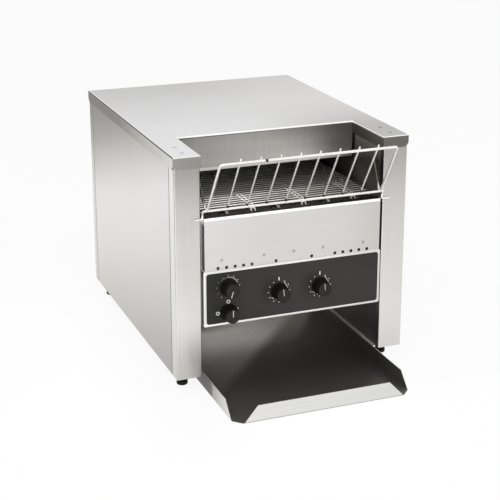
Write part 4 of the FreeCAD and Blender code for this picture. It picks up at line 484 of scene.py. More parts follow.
def front_panel_tones(finish):
    """Even pale face, a painted highlight on the bend along the top, painted shade on the edges in the vent
    holes and gaps, and a painted dark reflection on the top flange.
    """
    band_start, bend_start = PANEL_HIGH[2] - 4.9 * MM, PANEL_HIGH[2] - 10.7 * MM
    white = "FCFBFA"
    face = finish.greys(RIGHT, (
        (0.014, "D0CFCD"), (0.23, "CFCECC"), (0.662, "D5D3D1"), (0.824, "D1CFCB"), (0.986, "C5C4C0")))
    face = finish.blend(finish.past(UP, band_start, 0.5 * MM), face, white)
    rim = finish.blend(finish.past(UP, bend_start, 4 * MM), "121110", white)
    rim = finish.blend(finish.facing(UP, 0.9, 0.98), rim, "2B2A28")
    return finish.blend(finish.facing(FRONT, 0.85, 0.99), rim, face)


def front_panel_mirror(finish):
    """The bend along the top is made less metallic than the face, so its pale colour shows as a painted
    highlight from every side.
    """
    bend_start = PANEL_HIGH[2] - 4.45 * MM
    upright = finish.between(finish.facing(UP, 0.9, 0.98), 1.0, 0.0)
    return finish.between(finish.times(finish.past(UP, bend_start, 0.75 * MM), upright), 1.0, 0.25)


def past_foot(finish):
    """1 above the bend along the control panel's foot."""
    return finish.past(UP, CONTROL_FOOT + 5 * MM, 0.5 * MM)


def control_panel_tones(finish):
    # Painted reflections on the face and sides, and a painted highlight on the bend along the foot.
    face = finish.greys(RIGHT, ((0.014, "E8E8E6"), (0.5, "F2F2F0"), (0.986, "DCDBD8")))
    colour = finish.blend(finish.facing(FRONT, 0.75, 0.97), "D4D3D0", face)
    foot = finish.greys(RIGHT, ((0.014, "F2F1EE"), (0.5, "E4E3DF"), (0.986, "D2D1CE")))
    return finish.blend(past_foot(finish), foot, colour)


def control_panel_mirror(finish):
    """The bend along the foot is less metallic, so its pale painted highlight shows, not the dark bay below
    it.
    """
    return finish.between(past_foot(finish), 0.3, 1.0)


def frame_tones(finish):
    """Recess walls with painted shade: brown-grey above the belt and near black in the chamber and bay."""
    corner_start, corner_end = RECESS_BACK - 9 * MM, RECESS_BACK + 4.5 * MM
    corner_foot, ledge_top = 388 * MM, 95 * MM
    front = finish.greys(UP, (
        (0.005, "4A4845"), (0.214, "3F3D3A"), (0.678, "44413D"), (0.76, "55514C"), (0.841, "35322F"),
        (0.911, "3E3B37"), (0.98, "7C7871")))
    inward = finish.tone(REAR, ((0.194, 0.0), (0.33, 1.0)))
    colour = finish.blend(inward, front, "4A4743")
    # Painted shade in the back corner above the belt, and a painted highlight on the low ledge beside the
    # tray.
    corner = finish.times(finish.within(REAR, corner_start, corner_end), finish.past(UP, corner_foot, 2 * MM))
    colour = finish.blend(corner, colour, "0B0B0A")
    ledge = finish.times(finish.facing(UP), finish.before(UP, ledge_top, 5 * MM))
    return finish.blend(ledge, colour, "E9E9E6")


def tray_inside_tones(finish):
    """Bright where the tray sees the light past the left wall, dark under the front panel's shade."""
    near_light, far_light = (-0.751, 0.660, 0), (-0.825, 0.565, 0)
    near_edge, far_edge = -49 * MM, -105 * MM
    shade_start, shade_end = -90 * MM, 50 * MM
    corner_start, corner_left, corner_right = 40 * MM, -110 * MM, 10 * MM
    depth = finish.greys(REAR, (
        (0.028, "62605C"), (0.149, "5A5854"), (0.269, "4E4C49"), (0.39, "484643"), (0.55, "5E5C58"),
        (0.771, "7A7873"), (1.0, "7A7873")))
    bright = finish.greys(REAR, (
        (0.169, "5C5A56"), (0.329, "666460"), (0.47, "8E8C87"), (0.59, "A09F9A"), (0.711, "E6E5E1"),
        (1.0, "F6F5F2")))
    cone = finish.times(finish.past(far_light, far_edge, 8 * MM),
                        finish.spread(finish.along(REAR), shade_start, shade_end, 0.0, 0.7))
    colour = finish.blend(cone, depth, "C9C7C2")
    colour = finish.blend(finish.past(near_light, near_edge, 13 * MM), colour, bright)
    # Painted shade in the rear left corner of the tray.
    deep = finish.times(finish.past(REAR, corner_start, 20 * MM),
                        finish.spread(finish.along(RIGHT), corner_left, corner_right, 1.0, 0.0))
    colour = finish.blend(deep, colour, "3C3A36")
    wall = finish.greys(REAR, ((0.048, "5C5A56"), (0.369, "4A4844"), (0.972, "5A5854")))
    return finish.blend(finish.facing(UP), wall, colour)


def tray_outside_tones(finish):
    """The outside of the walls, with painted light: bright at the lip and fading to the rear into painted
    shade, with a painted shadow line at the foot.
    """
    shade_start, foot_top = -264 * MM, 1.5 * MM
    near = finish.greys(REAR, (
        (0.008, "D7D7D5"), (0.036, "EBEAE8"), (0.088, "DFDEDB"), (0.169, "C6C4BF"), (0.259, "94928B")))
    far = finish.greys(REAR, ((0.229, "55534E"), (0.329, "403E3A"), (0.57, "2C2B28")))
    colour = finish.blend(finish.past(REAR, shade_start, 6 * MM), near, far)
    return finish.blend(finish.before(UP, foot_top, 0.7 * MM), colour, "7A7874")


def smooth_metal(name, colour, roughness, spots=0.06, scale=60.0, metallic=1.0):
    """Wire, shafts and machined metal: even, with a faint mottle."""
    finish = Finish(name)
    mottle = finish.noise(finish.place(), scale, 4.0)
    return finish.close(
        base_color=finish.tint(colour, [finish.dapple(mottle, 1 - spots)]), metallic=metallic,
        roughness=finish.dapple(mottle, roughness - 0.05, roughness + 0.06))


def moulded(name, colour, roughness, texture=0.02 * MM, scale=900.0, specular=0.5):
    """Plastic, rubber, film or ceramic with a fine moulded surface."""
    finish = Finish(name)
    fine = finish.noise(finish.place(), scale, 3.0)
    broad = finish.noise(finish.place(), 14.0, 3.0)
    return finish.close(
        base_color=finish.tint(colour, [finish.dapple(broad, 0.92)]),
        roughness=finish.dapple(fine, roughness - 0.06, roughness + 0.06),
        specular_ior_level=specular, normal=finish.bump(fine, texture))


def fibrous(name, colour):
    """Matted mineral wool."""
    finish = Finish(name)
    strands = finish.noise(finish.place(scale=(90, 40, 300)), 1.0, 6.0, 0.7)
    return finish.close(
        base_color=finish.tint(colour, [finish.spread(strands, 0.25, 0.75, 0.7, 1.0)]), roughness=0.95,
        normal=finish.bump(strands, 2 * MM))


# Making pieces

def cast_piece(name, mesh_maker, materials, body, smooth=False):
    """A bmesh becomes an object at the origin that rides on a body."""
    mesh = bpy.data.meshes.new(name)
    mesh_maker.normal_update()
    mesh_maker.to_mesh(mesh)
    mesh_maker.free()
    piece = bpy.data.objects.new(name, mesh)
    bpy.context.scene.collection.objects.link(piece)
    for material in materials if isinstance(materials, list) else [materials]:
        mesh.materials.append(material)
    if smooth:
        mesh.shade_smooth()
    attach(piece, body)
    return piece


def dress(names, material):
    """Gives CAD nodes a finish."""
    for name in names:
        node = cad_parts[name]
        node.data.materials.clear()
        node.data.materials.append(material)


def dress_steel(nodes, *looks, **settings):
    """Gives CAD nodes a brushed finish, with tones that follow the first one's box."""
    dress(nodes, brushed_steel(nodes[0], *looks, **settings))


def on_face(x, y, z, turn=0.0):
    """A place on an upright face that looks towards -Y; turn is clockwise, in radians."""
    return Matrix.Translation((x, y, z)) @ Matrix.Rotation(turn, 4, "Y")


def add_disc(work, x, z, radius, near_y, far_y, segments=20):
    """A flat round mark between two values of y."""
    place = on_face(x, (near_y + far_y) / 2, z) @ Matrix.Rotation(math.pi / 2, 4, "X")
    bmesh.ops.create_cone(work, cap_ends=True, segments=segments, radius1=radius, radius2=radius,
                          depth=abs(far_y - near_y), matrix=place)


def add_bar(work, x, z, turn, start, end, width, near_y, far_y):
    """A straight mark from start to end along the direction turn, clockwise from the top."""
    place = on_face(x, (near_y + far_y) / 2, z, turn) @ Matrix.Translation((0, 0, (start + end) / 2))
    size = Matrix.Diagonal((width, abs(far_y - near_y), end - start, 1))
    bmesh.ops.create_cube(work, size=1.0, matrix=place @ size)


def add_arc(work, x, z, radius, width, start, sweep, near_y, far_y, steps=24):
    """A curved mark round a middle, clockwise from start through sweep radians; a whole turn is a ring."""
    half = width / 2
    inner, outer = radius - half, radius + half
    place = on_face(x, 0, z, start)
    points = [work.verts.new(place @ Vector((0, y, reach)))
              for reach, y in ((inner, near_y), (outer, near_y), (outer, far_y), (inner, far_y))]
    edges = [work.edges.new((points[index], points[(index + 1) % 4])) for index in range(4)]
    whole = math.isclose(sweep, WHOLE_TURN)
    made = bmesh.ops.spin(work, geom=points + edges, cent=(x, 0, z), axis=REAR, angle=sweep, steps=steps,
                          use_merge=whole)
    if not whole:
        work.faces.new(points)
        work.faces.new([one for one in made["geom_last"] if isinstance(one, bmesh.types.BMVert)])
    bmesh.ops.recalc_face_normals(work, faces=work.faces)


def turned_shape(work, middle, axis, profile, steps):
    """Spins a profile of (radius, distance along the axis) points about an axis through middle."""
    axis = Vector(axis)
    side = axis.orthogonal().normalized()
    points = [work.verts.new(Vector(middle) + axis * along + side * radius) for radius, along in profile]
    edges = [work.edges.new(pair) for pair in zip(points, points[1:])]
    bmesh.ops.spin(work, geom=points + edges, cent=middle, axis=axis, angle=WHOLE_TURN, steps=steps,
                   use_merge=True)
    bmesh.ops.remove_doubles(work, verts=work.verts, dist=0.001 * MM)
    bmesh.ops.recalc_face_normals(work, faces=work.faces)


class FinishOperator:
    """What the operators share"""
    bl_options = {"REGISTER", "UNDO"}


class TOASTER_OT_casing(FinishOperator, bpy.types.Operator):
    """Gives the cover, columns and panels their brushed steel"""
    bl_idname = "toaster.casing"
    bl_label = "Casing sheets"

    def execute(self, context):
        steel = context.scene.toaster_steel
        dress_steel(["top_cover"], "cover_steel", cover_tones, "X", steel, metallic=cover_mirror)
        for name, tones, nodes in (
                ("left_panel_steel", left_panel_tones, ["left_side_panel"]),
                ("right_panel_steel", right_panel_tones, ["right_side_panel"]),
                ("base_pan_steel", "BFBDB9", ["left_base_pan", "right_base_pan"]),
                ("rear_panel_steel", rear_panel_tones, ["rear_panel"]),
                ("left_column_steel", left_column_tones, ["left_column"]),
                ("right_column_steel", right_column_tones, ["right_column"])):
            dress_steel(nodes, name, tones, "Z", steel)
        dress_steel(["upper_front_panel"], "front_panel_steel", front_panel_tones, "X", steel, streak=0.03,
                    metallic=front_panel_mirror)
        dress_steel(["control_panel"], "control_panel_steel", control_panel_tones, "X", steel, roughness=0.28,
                    streak=0.02, metallic=control_panel_mirror)
        return {"FINISHED"}


class TOASTER_OT_inner_walls(FinishOperator, bpy.types.Operator):
    """Gives the walls, reflectors and boxes inside the casing their plain steel"""
    bl_idname = "toaster.inner_walls"
    bl_label = "Inner walls"

    def execute(self, context):
        steel = context.scene.toaster_steel
        dress_steel(["left_side_frame", "right_side_frame"], "frame_steel", frame_tones, "Z", steel,
                    roughness=0.38, metallic=0.45)
        dress_steel(["control_box", "discharge_chute"], "bay_steel", "E6E4DF", "Y", steel, roughness=0.42,
                    metallic=0.2)
        dress_steel(["upper_reflector", "lower_reflector"], "reflector_steel", "8C8A85", "Y", steel,
                    roughness=0.3, metallic=0.6)
        dress(["belt_rails", "motor_bracket"], smooth_metal("rail_steel", "6E6D68", 0.4))
        dress(["insulation_blanket"], fibrous("mineral_wool", "D9D2BE"))
        return {"FINISHED"}


class TOASTER_OT_wirework(FinishOperator, bpy.types.Operator):
    """Finishes the rack, belt and heater guard, and adds the rack's weld beads"""
    bl_idname = "toaster.wirework"
    bl_label = "Wirework"

    def execute(self, context):
        steel = context.scene.toaster_steel
        dress(["loading_rack"], self.rack_wire(steel))
        dress(["heater_guard"], smooth_metal("guard_wire", "A5A29C", 0.3, metallic=0.6))
        dress(["conveyor_belt"], self.belt_wire())
        self.weld_beads(steel)
        return {"FINISHED"}

    def rack_wire(self, steel):
        """Bright wire, with painted shade on the stays behind the front panel and above the belt."""
        stays_front, stays_foot = -227 * MM, 352.5 * MM
        wire = Finish("bright_wire")
        mottle = wire.noise(wire.place(), 30.0, 2.0)
        inside = wire.times(wire.past(REAR, stays_front, 5 * MM), wire.past(UP, stays_foot, 2.5 * MM))
        colour = wire.blend(inside, steel.wire_colour, steel.stay_shade_colour)
        return wire.close(
            base_color=wire.tint(colour, [wire.dapple(mottle, 0.95)]), metallic=0.85,
            roughness=wire.dapple(mottle, 0.24, 0.30))

    def belt_wire(self):
        """Belt wire with painted light: bright in the recess and at the left, painted shade under the cover.
        """
        shade_start = -120 * MM
        belt = Finish("belt_wire", "conveyor_belt")
        stain = belt.noise(belt.place(scale=(14, 60, 60)), 1.0, 4.0)
        near = belt.greys(RIGHT, ((0.006, "FDFBF8"), (0.326, "F6F3EF"), (0.674, "C8C4BE"), (0.994, "8C8881")))
        far = belt.greys(RIGHT, ((0.006, "C8C5C0"), (0.151, "9A9791"), (0.994, "8A8781")))
        colour = belt.blend(belt.past(REAR, shade_start, 8 * MM), near, far)
        return belt.close(
            base_color=belt.tint(colour, [belt.dapple(stain, 0.82)]), metallic=0.2,
            roughness=0.34)

    def weld_beads(self, steel):
        """Browned beads where the cross wires meet the bottom rod, and a butt weld in the top rod."""
        tinted = smooth_metal(
            "weld_tint_brown", steel.weld_colour, 0.45, spots=0.4, scale=500.0, metallic=0.3)
        half, lean, rise = 172.3 * MM, math.radians(32.9), 123.3 * MM
        foot = Vector((0, -235.0 * MM, 356.5 * MM))
        cross_wires = 8
        pitch = 2 * half / (cross_wires + 1)
        bead = (2.8 * MM, 2.8 * MM, 3.0 * MM, 1)
        bead_in, bead_up = 3.0 * MM, 3.6 * MM
        seam_x = -85.3 * MM
        butt_weld = [
            (2.3 * MM, -3.2 * MM), (2.6 * MM, -2.2 * MM), (2.45 * MM, -0.6 * MM), (2.65 * MM, 1.4 * MM),
            (2.3 * MM, 3.0 * MM)]
        up = Vector((0, -math.sin(lean), math.cos(lean)))
        inward = Vector((0, math.cos(lean), math.sin(lean)))
        turn = Matrix.Rotation(lean, 4, "X")
        work = bmesh.new()
        for number in range(cross_wires):
            across = Vector((pitch * (number - (cross_wires - 1) / 2), 0, 0))
            place = Matrix.Translation(foot + across + inward * bead_in + up * bead_up) @ turn
            bmesh.ops.create_uvsphere(work, u_segments=14, v_segments=8, radius=1.0,
                                      matrix=place @ Matrix.Diagonal(bead))
        seam = foot + up * rise + Vector((seam_x, 0, 0))
        turned_shape(work, seam, RIGHT, butt_weld, 16)
        cast_piece("rack_weld_beads", work, tinted, "rack", smooth=True)


class TOASTER_OT_drive(FinishOperator, bpy.types.Operator):
    """Finishes shafts, sprockets, chain, motor, heaters and fan"""
    bl_idname = "toaster.drive"
    bl_label = "Drive and heat"

    def execute(self, context):
        dress(["drive_shaft", "idler_shaft", "drive_sprockets", "idler_sprockets", "motor_shaft",
               "speed_spindle", "power_spindle", "top_heat_spindle", "bottom_heat_spindle"],
              smooth_metal("machined_steel", "8E8C86", 0.28))
        dress(["chain_wheel", "motor_sprocket", "drive_chain"], smooth_metal("oiled_steel", "6F6C66", 0.3))
        dress(["shaft_bushings"], smooth_metal("sintered_bronze", "6E5836", 0.45, spots=0.2, scale=400.0))
        dress(["gearmotor"], moulded("motor_paint", "3C4044", 0.42))
        dress(["upper_heaters", "lower_heaters"], smooth_metal(
            "heater_sheath", "57504A", 0.45, spots=0.3, scale=30.0))
        dress(["heater_bushings", "terminal_block"], moulded("glazed_ceramic", "E4DFD2", 0.25))
        dress(["fan_frame", "fan_rotor", "high_limit_thermostat", "speed_potentiometer", "power_switch",
               "heat_regulators", "cord_gland"], moulded("black_plastic", "1E1E1D", 0.45))
        dress(["speed_control_board"], moulded("board_green", "1F5A3C", 0.4))
        dress(["front_left_foot", "front_right_foot", "rear_left_foot", "rear_right_foot"],
              moulded("foot_rubber", "0C0C0B", 0.7, texture=0.05 * MM, scale=500.0, specular=0.2))
        return {"FINISHED"}


class TOASTER_OT_knobs(FinishOperator, bpy.types.Operator):
    """Fluted knobs with inlaid pointers"""
    bl_idname = "toaster.knobs"
    bl_label = "Knobs"

    def execute(self, context):
        controls = context.scene.toaster_controls
        plastic = self.plastic(controls)
        ink = moulded("pointer_ink", "B2B1AD", 0.5)
        for name, middle in KNOBS.items():
            self.grip(name, middle, controls, plastic)
            self.pointer(name, middle, ink)
        return {"FINISHED"}

    def grip(self, name, middle, controls, plastic):
        """A turned knob: a dished face, a fluted wall that widens to the rear, and a skirt."""
        low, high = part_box(name + "_knob")
        face_y, length, skirt_radius = low[1], high[1] - low[1], (high[0] - low[0]) / 2
        face_radius, wall_radius, bore = 13.6 * MM, 16.4 * MM, 3.2 * MM
        skirt_front, edge = length - 2.4 * MM, 0.3 * MM
        flutes_start, flutes_end = 2.0 * MM, skirt_front - 0.5 * MM
        face = [(0.0, 0.35 * MM), (9.0 * MM, 0.3 * MM), (face_radius - 1.6 * MM, 0.05 * MM),
                (face_radius - 0.5 * MM, 0.25 * MM), (face_radius - 0.1 * MM, 0.8 * MM)]
        wall = [(face_radius + 0.1 * MM, 2.4 * MM), (wall_radius - 0.1 * MM, skirt_front - 0.8 * MM),
                (wall_radius - 0.05 * MM, skirt_front)]
        skirt = [(skirt_radius - edge, skirt_front), (skirt_radius, skirt_front + 0.4 * MM),
                 (skirt_radius, length - edge), (skirt_radius - edge, length), (bore, length)]
        work = bmesh.new()
        turned_shape(work, (middle.x, face_y, middle.z), REAR, face + wall + skirt, controls.flutes * 6)
        for vert in work.verts:
            if flutes_start < vert.co.y - face_y < flutes_end:
                arm = Vector((vert.co.x - middle.x, 0, vert.co.z - middle.z))
                angle = math.atan2(arm.x, arm.z)
                shrink = controls.flute_depth * (0.5 - 0.5 * math.cos(angle * controls.flutes))
                vert.co -= arm.normalized() * shrink
        knob = cast_piece(name + "_grip", work, plastic, name + "_control", smooth=True)
        knob.data.set_sharp_from_angle(angle=math.radians(38))
        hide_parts(name + "_knob")

    def pointer(self, name, middle, ink):
        face_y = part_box(name + "_knob")[0][1]
        width = 1.2 * MM if name.endswith("heat") else 1.6 * MM
        start, end, proud, depth, rounding = -0.4 * MM, 12.6 * MM, 0.05 * MM, 0.4 * MM, 0.15 * MM
        work = bmesh.new()
        add_bar(work, middle.x, middle.z, POINTERS[name], start, end, width, face_y - proud, face_y + depth)
        bmesh.ops.bevel(work, geom=list(work.edges), offset=rounding, segments=2, profile=0.5, affect="EDGES",
                        material=-1)
        cast_piece(name + "_pointer", work, ink, name + "_control")

    def plastic(self, controls):
        """Black moulded plastic with a painted paler sheen on the faces and a pale line round the wall."""
        face_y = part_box("speed_knob")[0][1]
        line_start, line_end = face_y + 3.4 * MM, face_y + 4.4 * MM
        finish = Finish("knob_plastic")
        fine = finish.noise(finish.place(), 900.0, 3.0)
        colour = finish.blend(finish.facing(FRONT, 0.9, 0.99), controls.knob_colour, controls.face_sheen_colour)
        colour = finish.blend(finish.within(REAR, line_start, line_end, 0.3 * MM), colour, "2B2A28")
        return finish.close(base_color=colour, roughness=finish.dapple(fine, 0.44, 0.56),
                            specular_ior_level=0.1, normal=finish.bump(fine, 0.01 * MM))


class TOASTER_OT_dials(FinishOperator, bpy.types.Operator):
    """Overlay film and the dots, ticks and arcs round the knobs"""
    bl_idname = "toaster.dials"
    bl_label = "Dial marks"

    def execute(self, context):
        controls = context.scene.toaster_controls
        dress(["control_overlay"], self.film(controls))
        ink = moulded("dial_ink", controls.ink_colour, 0.55)
        self.speed_marks(controls)
        self.power_marks(controls, ink)
        for name in ("top_heat", "bottom_heat"):
            self.heat_marks(controls, name, ink)
        return {"FINISHED"}

    def speed_marks(self, controls):
        """Eleven dots and two arcs. The dots from the second to the fifth, and one arc, are dim."""
        middle, layer = KNOBS["speed"], self.layer(controls)
        reach, radius, width, sweep = 22.8 * MM, 19.7 * MM, 1.1 * MM, math.radians(68)
        dim_radius, dim_width, dim_start, dim_sweep = 19.5 * MM, 0.7 * MM, math.radians(-45), math.radians(44)
        turns = [216.5 + 28.5 * step for step in range(11)]
        work = bmesh.new()
        self.dots(work, controls, middle, [turns[0], *turns[5:]], reach)
        add_arc(work, middle.x, middle.z, radius, width, 0.0, sweep, *layer, steps=20)
        cast_piece("speed_dial_marks", work, moulded("speed_dial_ink", "ACABA6", 0.55), CASING)
        work = bmesh.new()
        self.dots(work, controls, middle, turns[1:5], reach)
        add_arc(work, middle.x, middle.z, dim_radius, dim_width, dim_start, dim_sweep, *layer, steps=16)
        cast_piece("speed_dial_arc", work, moulded("dim_ink", "77756F", 0.55), CASING)

    def power_marks(self, controls, ink):
        """A ring at the left and at the top, and a dot."""
        middle, layer = KNOBS["power"], self.layer(controls)
        reach, radius, width = 21.0 * MM, 3.0 * MM, 1.4 * MM
        work = bmesh.new()
        for turn in (-math.pi / 2, 0.0):
            x, z = middle.x + reach * math.sin(turn), middle.z + reach * math.cos(turn)
            add_arc(work, x, z, radius, width, 0.0, WHOLE_TURN, *layer)
        self.dots(work, controls, middle, [76], 19.8 * MM)
        cast_piece("power_dial_marks", work, ink, CASING)

    def heat_marks(self, controls, name, ink):
        """A tick at the top, eleven dots, and a stroke inside them at the upper right and the lower left."""
        middle = KNOBS[name]
        start, end, width, stroke = 21.5 * MM, 28.5 * MM, 2.0 * MM, 0.9 * MM
        work = bmesh.new()
        add_bar(work, middle.x, middle.z, 0.0, start, end, width, *self.layer(controls))
        self.dots(work, controls, middle, [30 * step for step in range(1, 12)], controls.dial_radius)
        self.chord(work, controls, middle, (31, 20.3 * MM), (75, 18.9 * MM), stroke)
        self.chord(work, controls, middle, (235, 18.6 * MM), (193, 17.9 * MM), stroke)
        cast_piece(name + "_dial_marks", work, ink, CASING)

    def layer(self, controls):
        """The two values of y between which the ink lies."""
        return FILM_Y - controls.ink_height, FILM_Y

    def dots(self, work, controls, middle, degrees, reach):
        for angle in degrees:
            turn = math.radians(angle)
            x, z = middle.x + reach * math.sin(turn), middle.z + reach * math.cos(turn)
            add_disc(work, x, z, controls.dot_radius, *self.layer(controls))

    def chord(self, work, controls, middle, first, last, width):
        """A straight mark between two places, each an angle in degrees and a distance from the middle."""
        start, end = (Matrix.Rotation(math.radians(angle), 3, "Y") @ Vector((0, 0, reach))
                      for angle, reach in (first, last))
        run = end - start
        x, z, turn = middle.x + start.x, middle.z + start.z, math.atan2(run.x, run.z)
        add_bar(work, x, z, turn, 0.0, run.length, width, *self.layer(controls))

    def film(self, controls):
        """Matt film, a little darker towards its left edge, with painted shadows of the knobs beside them."""
        left, up, inner, outer = 15.0 * MM, 5.0 * MM, 10 * MM, 32 * MM
        finish = Finish("overlay_film", "control_overlay")
        fine = finish.noise(finish.place(), 1500.0, 3.0)
        across = finish.tone(RIGHT, (
            (0.0, 0.45), (0.159, 0.72), (0.358, 0.85), (0.557, 1.0), (0.756, 0.88), (1.0, 0.74)))
        rise = finish.tone(UP, ((0.0, 0.97), (0.321, 1.14), (0.572, 0.97), (1.0, 0.78)))
        shades = [across, rise]
        # Painted shadows of the knobs, offset to the left of each.
        for middle in KNOBS.values():
            spot = (middle.x - left, FILM_Y, middle.z + up)
            shades.append(finish.spread(finish.distance(spot), inner, outer, 0.62, 1.0))
        return finish.close(
            base_color=finish.tint(controls.film_colour, shades), specular_ior_level=0.26,
            roughness=finish.dapple(fine, 0.55, 0.66), normal=finish.bump(fine, 0.01 * MM))


class TOASTER_OT_studs(FinishOperator, bpy.types.Operator):
    """Heat-tinted rings where the studs are welded behind the front panel and under the arms"""
    bl_idname = "toaster.studs"
    bl_label = "Stud marks"

    def execute(self, context):
        tint = smooth_metal("weld_tint", "7D7B76", 0.4)
        work = bmesh.new()
        height, near, far = PANEL_LOW[2] + 18.0 * MM, PANEL_LOW[1] - 0.08 * MM, PANEL_LOW[1] + 0.2 * MM
        radius, width, near_x, far_x = 2.1 * MM, 0.9 * MM, 60 * MM, 144 * MM
        for x in (-far_x, -near_x, 0, near_x, far_x):
            add_arc(work, x, height, radius, width, 0.0, WHOLE_TURN, near, far)
        cast_piece("front_panel_stud_marks", work, tint, CASING)
        work = bmesh.new()
        arm_x, rear_y, front_y = 209 * MM, -158.5 * MM, -200 * MM
        for x in (-arm_x, arm_x):
            for y in (rear_y, front_y):
                self.lying_ring(work, (x, y, COVER_TOP))
        cast_piece("cover_stud_marks", work, tint, CASING)
        return {"FINISHED"}

    def lying_ring(self, work, place):
        """A ring that looks up, made upright and laid down."""
        radius, width, proud, sunk = 3.4 * MM, 0.8 * MM, 0.1 * MM, 0.3 * MM
        others = set(work.verts)
        add_arc(work, 0, 0, radius, width, 0.0, WHOLE_TURN, -proud, sunk)
        lie = Matrix.Translation(place) @ Matrix.Rotation(-math.pi / 2, 4, "X")
        bmesh.ops.transform(work, matrix=lie, verts=[vert for vert in work.verts if vert not in others])


class TOASTER_OT_tray(FinishOperator, bpy.types.Operator):
    """The folded landing tray, dull inside and bright outside"""
    bl_idname = "toaster.tray"
    bl_label = "Landing tray"

    def execute(self, context):
        steel = context.scene.toaster_steel
        low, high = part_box("landing_tray")
        wall, sheet, fold = high[2], 1.2 * MM, 1.6 * MM
        work = self.outside(high[0], low[1], high[1], wall)
        folds = [edge for edge in work.edges if len(edge.link_faces) == 2]
        bmesh.ops.bevel(work, geom=folds, offset=fold, offset_type="OFFSET", segments=3, profile=0.5,
                        affect="EDGES", material=-1)
        self.face_down(work)
        outer = set(work.faces)
        bmesh.ops.solidify(work, geom=list(work.faces), thickness=sheet)
        work.normal_update()
        for face in work.faces:
            edge = face.normal.z > 0.9 and face.calc_center_median().z > wall / 2
            face.material_index = 2 if edge else 0 if face in outer else 1
        bright = brushed_steel(
            "landing_tray", "tray_outside_steel", tray_outside_tones, "X", steel, roughness=0.3)
        dull = brushed_steel(
            "landing_tray", "tray_inside_steel", tray_inside_tones, "Y", steel, roughness=0.42, streak=0.14,
            metallic=0.55)
        cut = smooth_metal("tray_edge_steel", "E9E8E4", 0.35, metallic=0.4)
        tray = cast_piece("folded_tray", work, [bright, dull, cut], "tray")
        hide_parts("landing_tray")
        return {"FINISHED"}

    def outside(self, half, near_y, far_y, wall):
        """The outside as one surface: a floor with two cut corners, a leaning lip and two walls."""
        corner, lean, taper, tip = 18 * MM, 30 * MM, 28 * MM, 4 * MM
        lip_half, shoulder_y = half - corner, near_y + corner
        work = bmesh.new()
        outline = [(-lip_half, near_y), (lip_half, near_y), (half, shoulder_y), (half, far_y),
                   (-half, far_y), (-half, shoulder_y)]
        corners = [work.verts.new((x, y, 0)) for x, y in outline]
        work.faces.new(corners)
        for first, last in ((0, 1), (2, 3), (4, 5)):
            edge = work.edges.get((corners[first], corners[last]))
            made = bmesh.ops.extrude_edge_only(work, edges=[edge])
            for vert in [one for one in made["geom"] if isinstance(one, bmesh.types.BMVert)]:
                vert.co.z = wall
                if first == 0:
                    vert.co.y += tip
                    vert.co.x -= math.copysign(taper, vert.co.x)
                elif vert.co.y < 0:
                    vert.co.y += lean
        self.face_down(work)
        return work

    def face_down(self, work):
        """Makes the faces agree, with the floor looking down."""
        bmesh.ops.recalc_face_normals(work, faces=work.faces)
        floor = max(work.faces, key=lambda face: face.calc_area())
        if floor.normal.z > 0:
            bmesh.ops.reverse_faces(work, faces=work.faces)


class TOASTER_OT_screws(FinishOperator, bpy.types.Operator):
    """Cross-recessed screws on the rear panel"""
    bl_idname = "toaster.screws"
    bl_label = "Rear screws"

    def execute(self, context):
        metal = smooth_metal("screw_steel", "C9C8C4", 0.25)
        # Painted shade: the cross recesses are dark strips in the bright heads.
        dark = smooth_metal("screw_recess", "3A3937", 0.4)
        low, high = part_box("casing_screws")
        radius, height = 4 * MM, 2 * MM
        slot_width, slot_depth, slot_proud, slot_turn = 0.7 * MM, 0.5 * MM, 0.03 * MM, 0.2
        head = [(height, -height), (radius, 0.0), (radius, 0.7 * MM), (3.3 * MM, 1.5 * MM),
                (1.8 * MM, 1.9 * MM), (0.0, height)]
        face_y = high[1]
        work = bmesh.new()
        slots = bmesh.new()
        for x in (low[0] + radius, high[0] - radius):
            for z in (low[2] + radius, (low[2] + high[2]) / 2, high[2] - radius):
                turned_shape(work, (x, face_y - height, z), REAR, head, 24)
                for turn in (slot_turn, slot_turn + math.pi / 2):
                    add_bar(slots, x, z, turn, -height, height, slot_width, face_y - slot_depth,
                            face_y + slot_proud)
        heads = cast_piece("rear_screw_heads", work, metal, CASING, smooth=True)
        heads.data.set_sharp_from_angle(angle=math.radians(50))
        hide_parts("casing_screws")
        cast_piece("rear_screw_recesses", slots, dark, CASING)
        return {"FINISHED"}


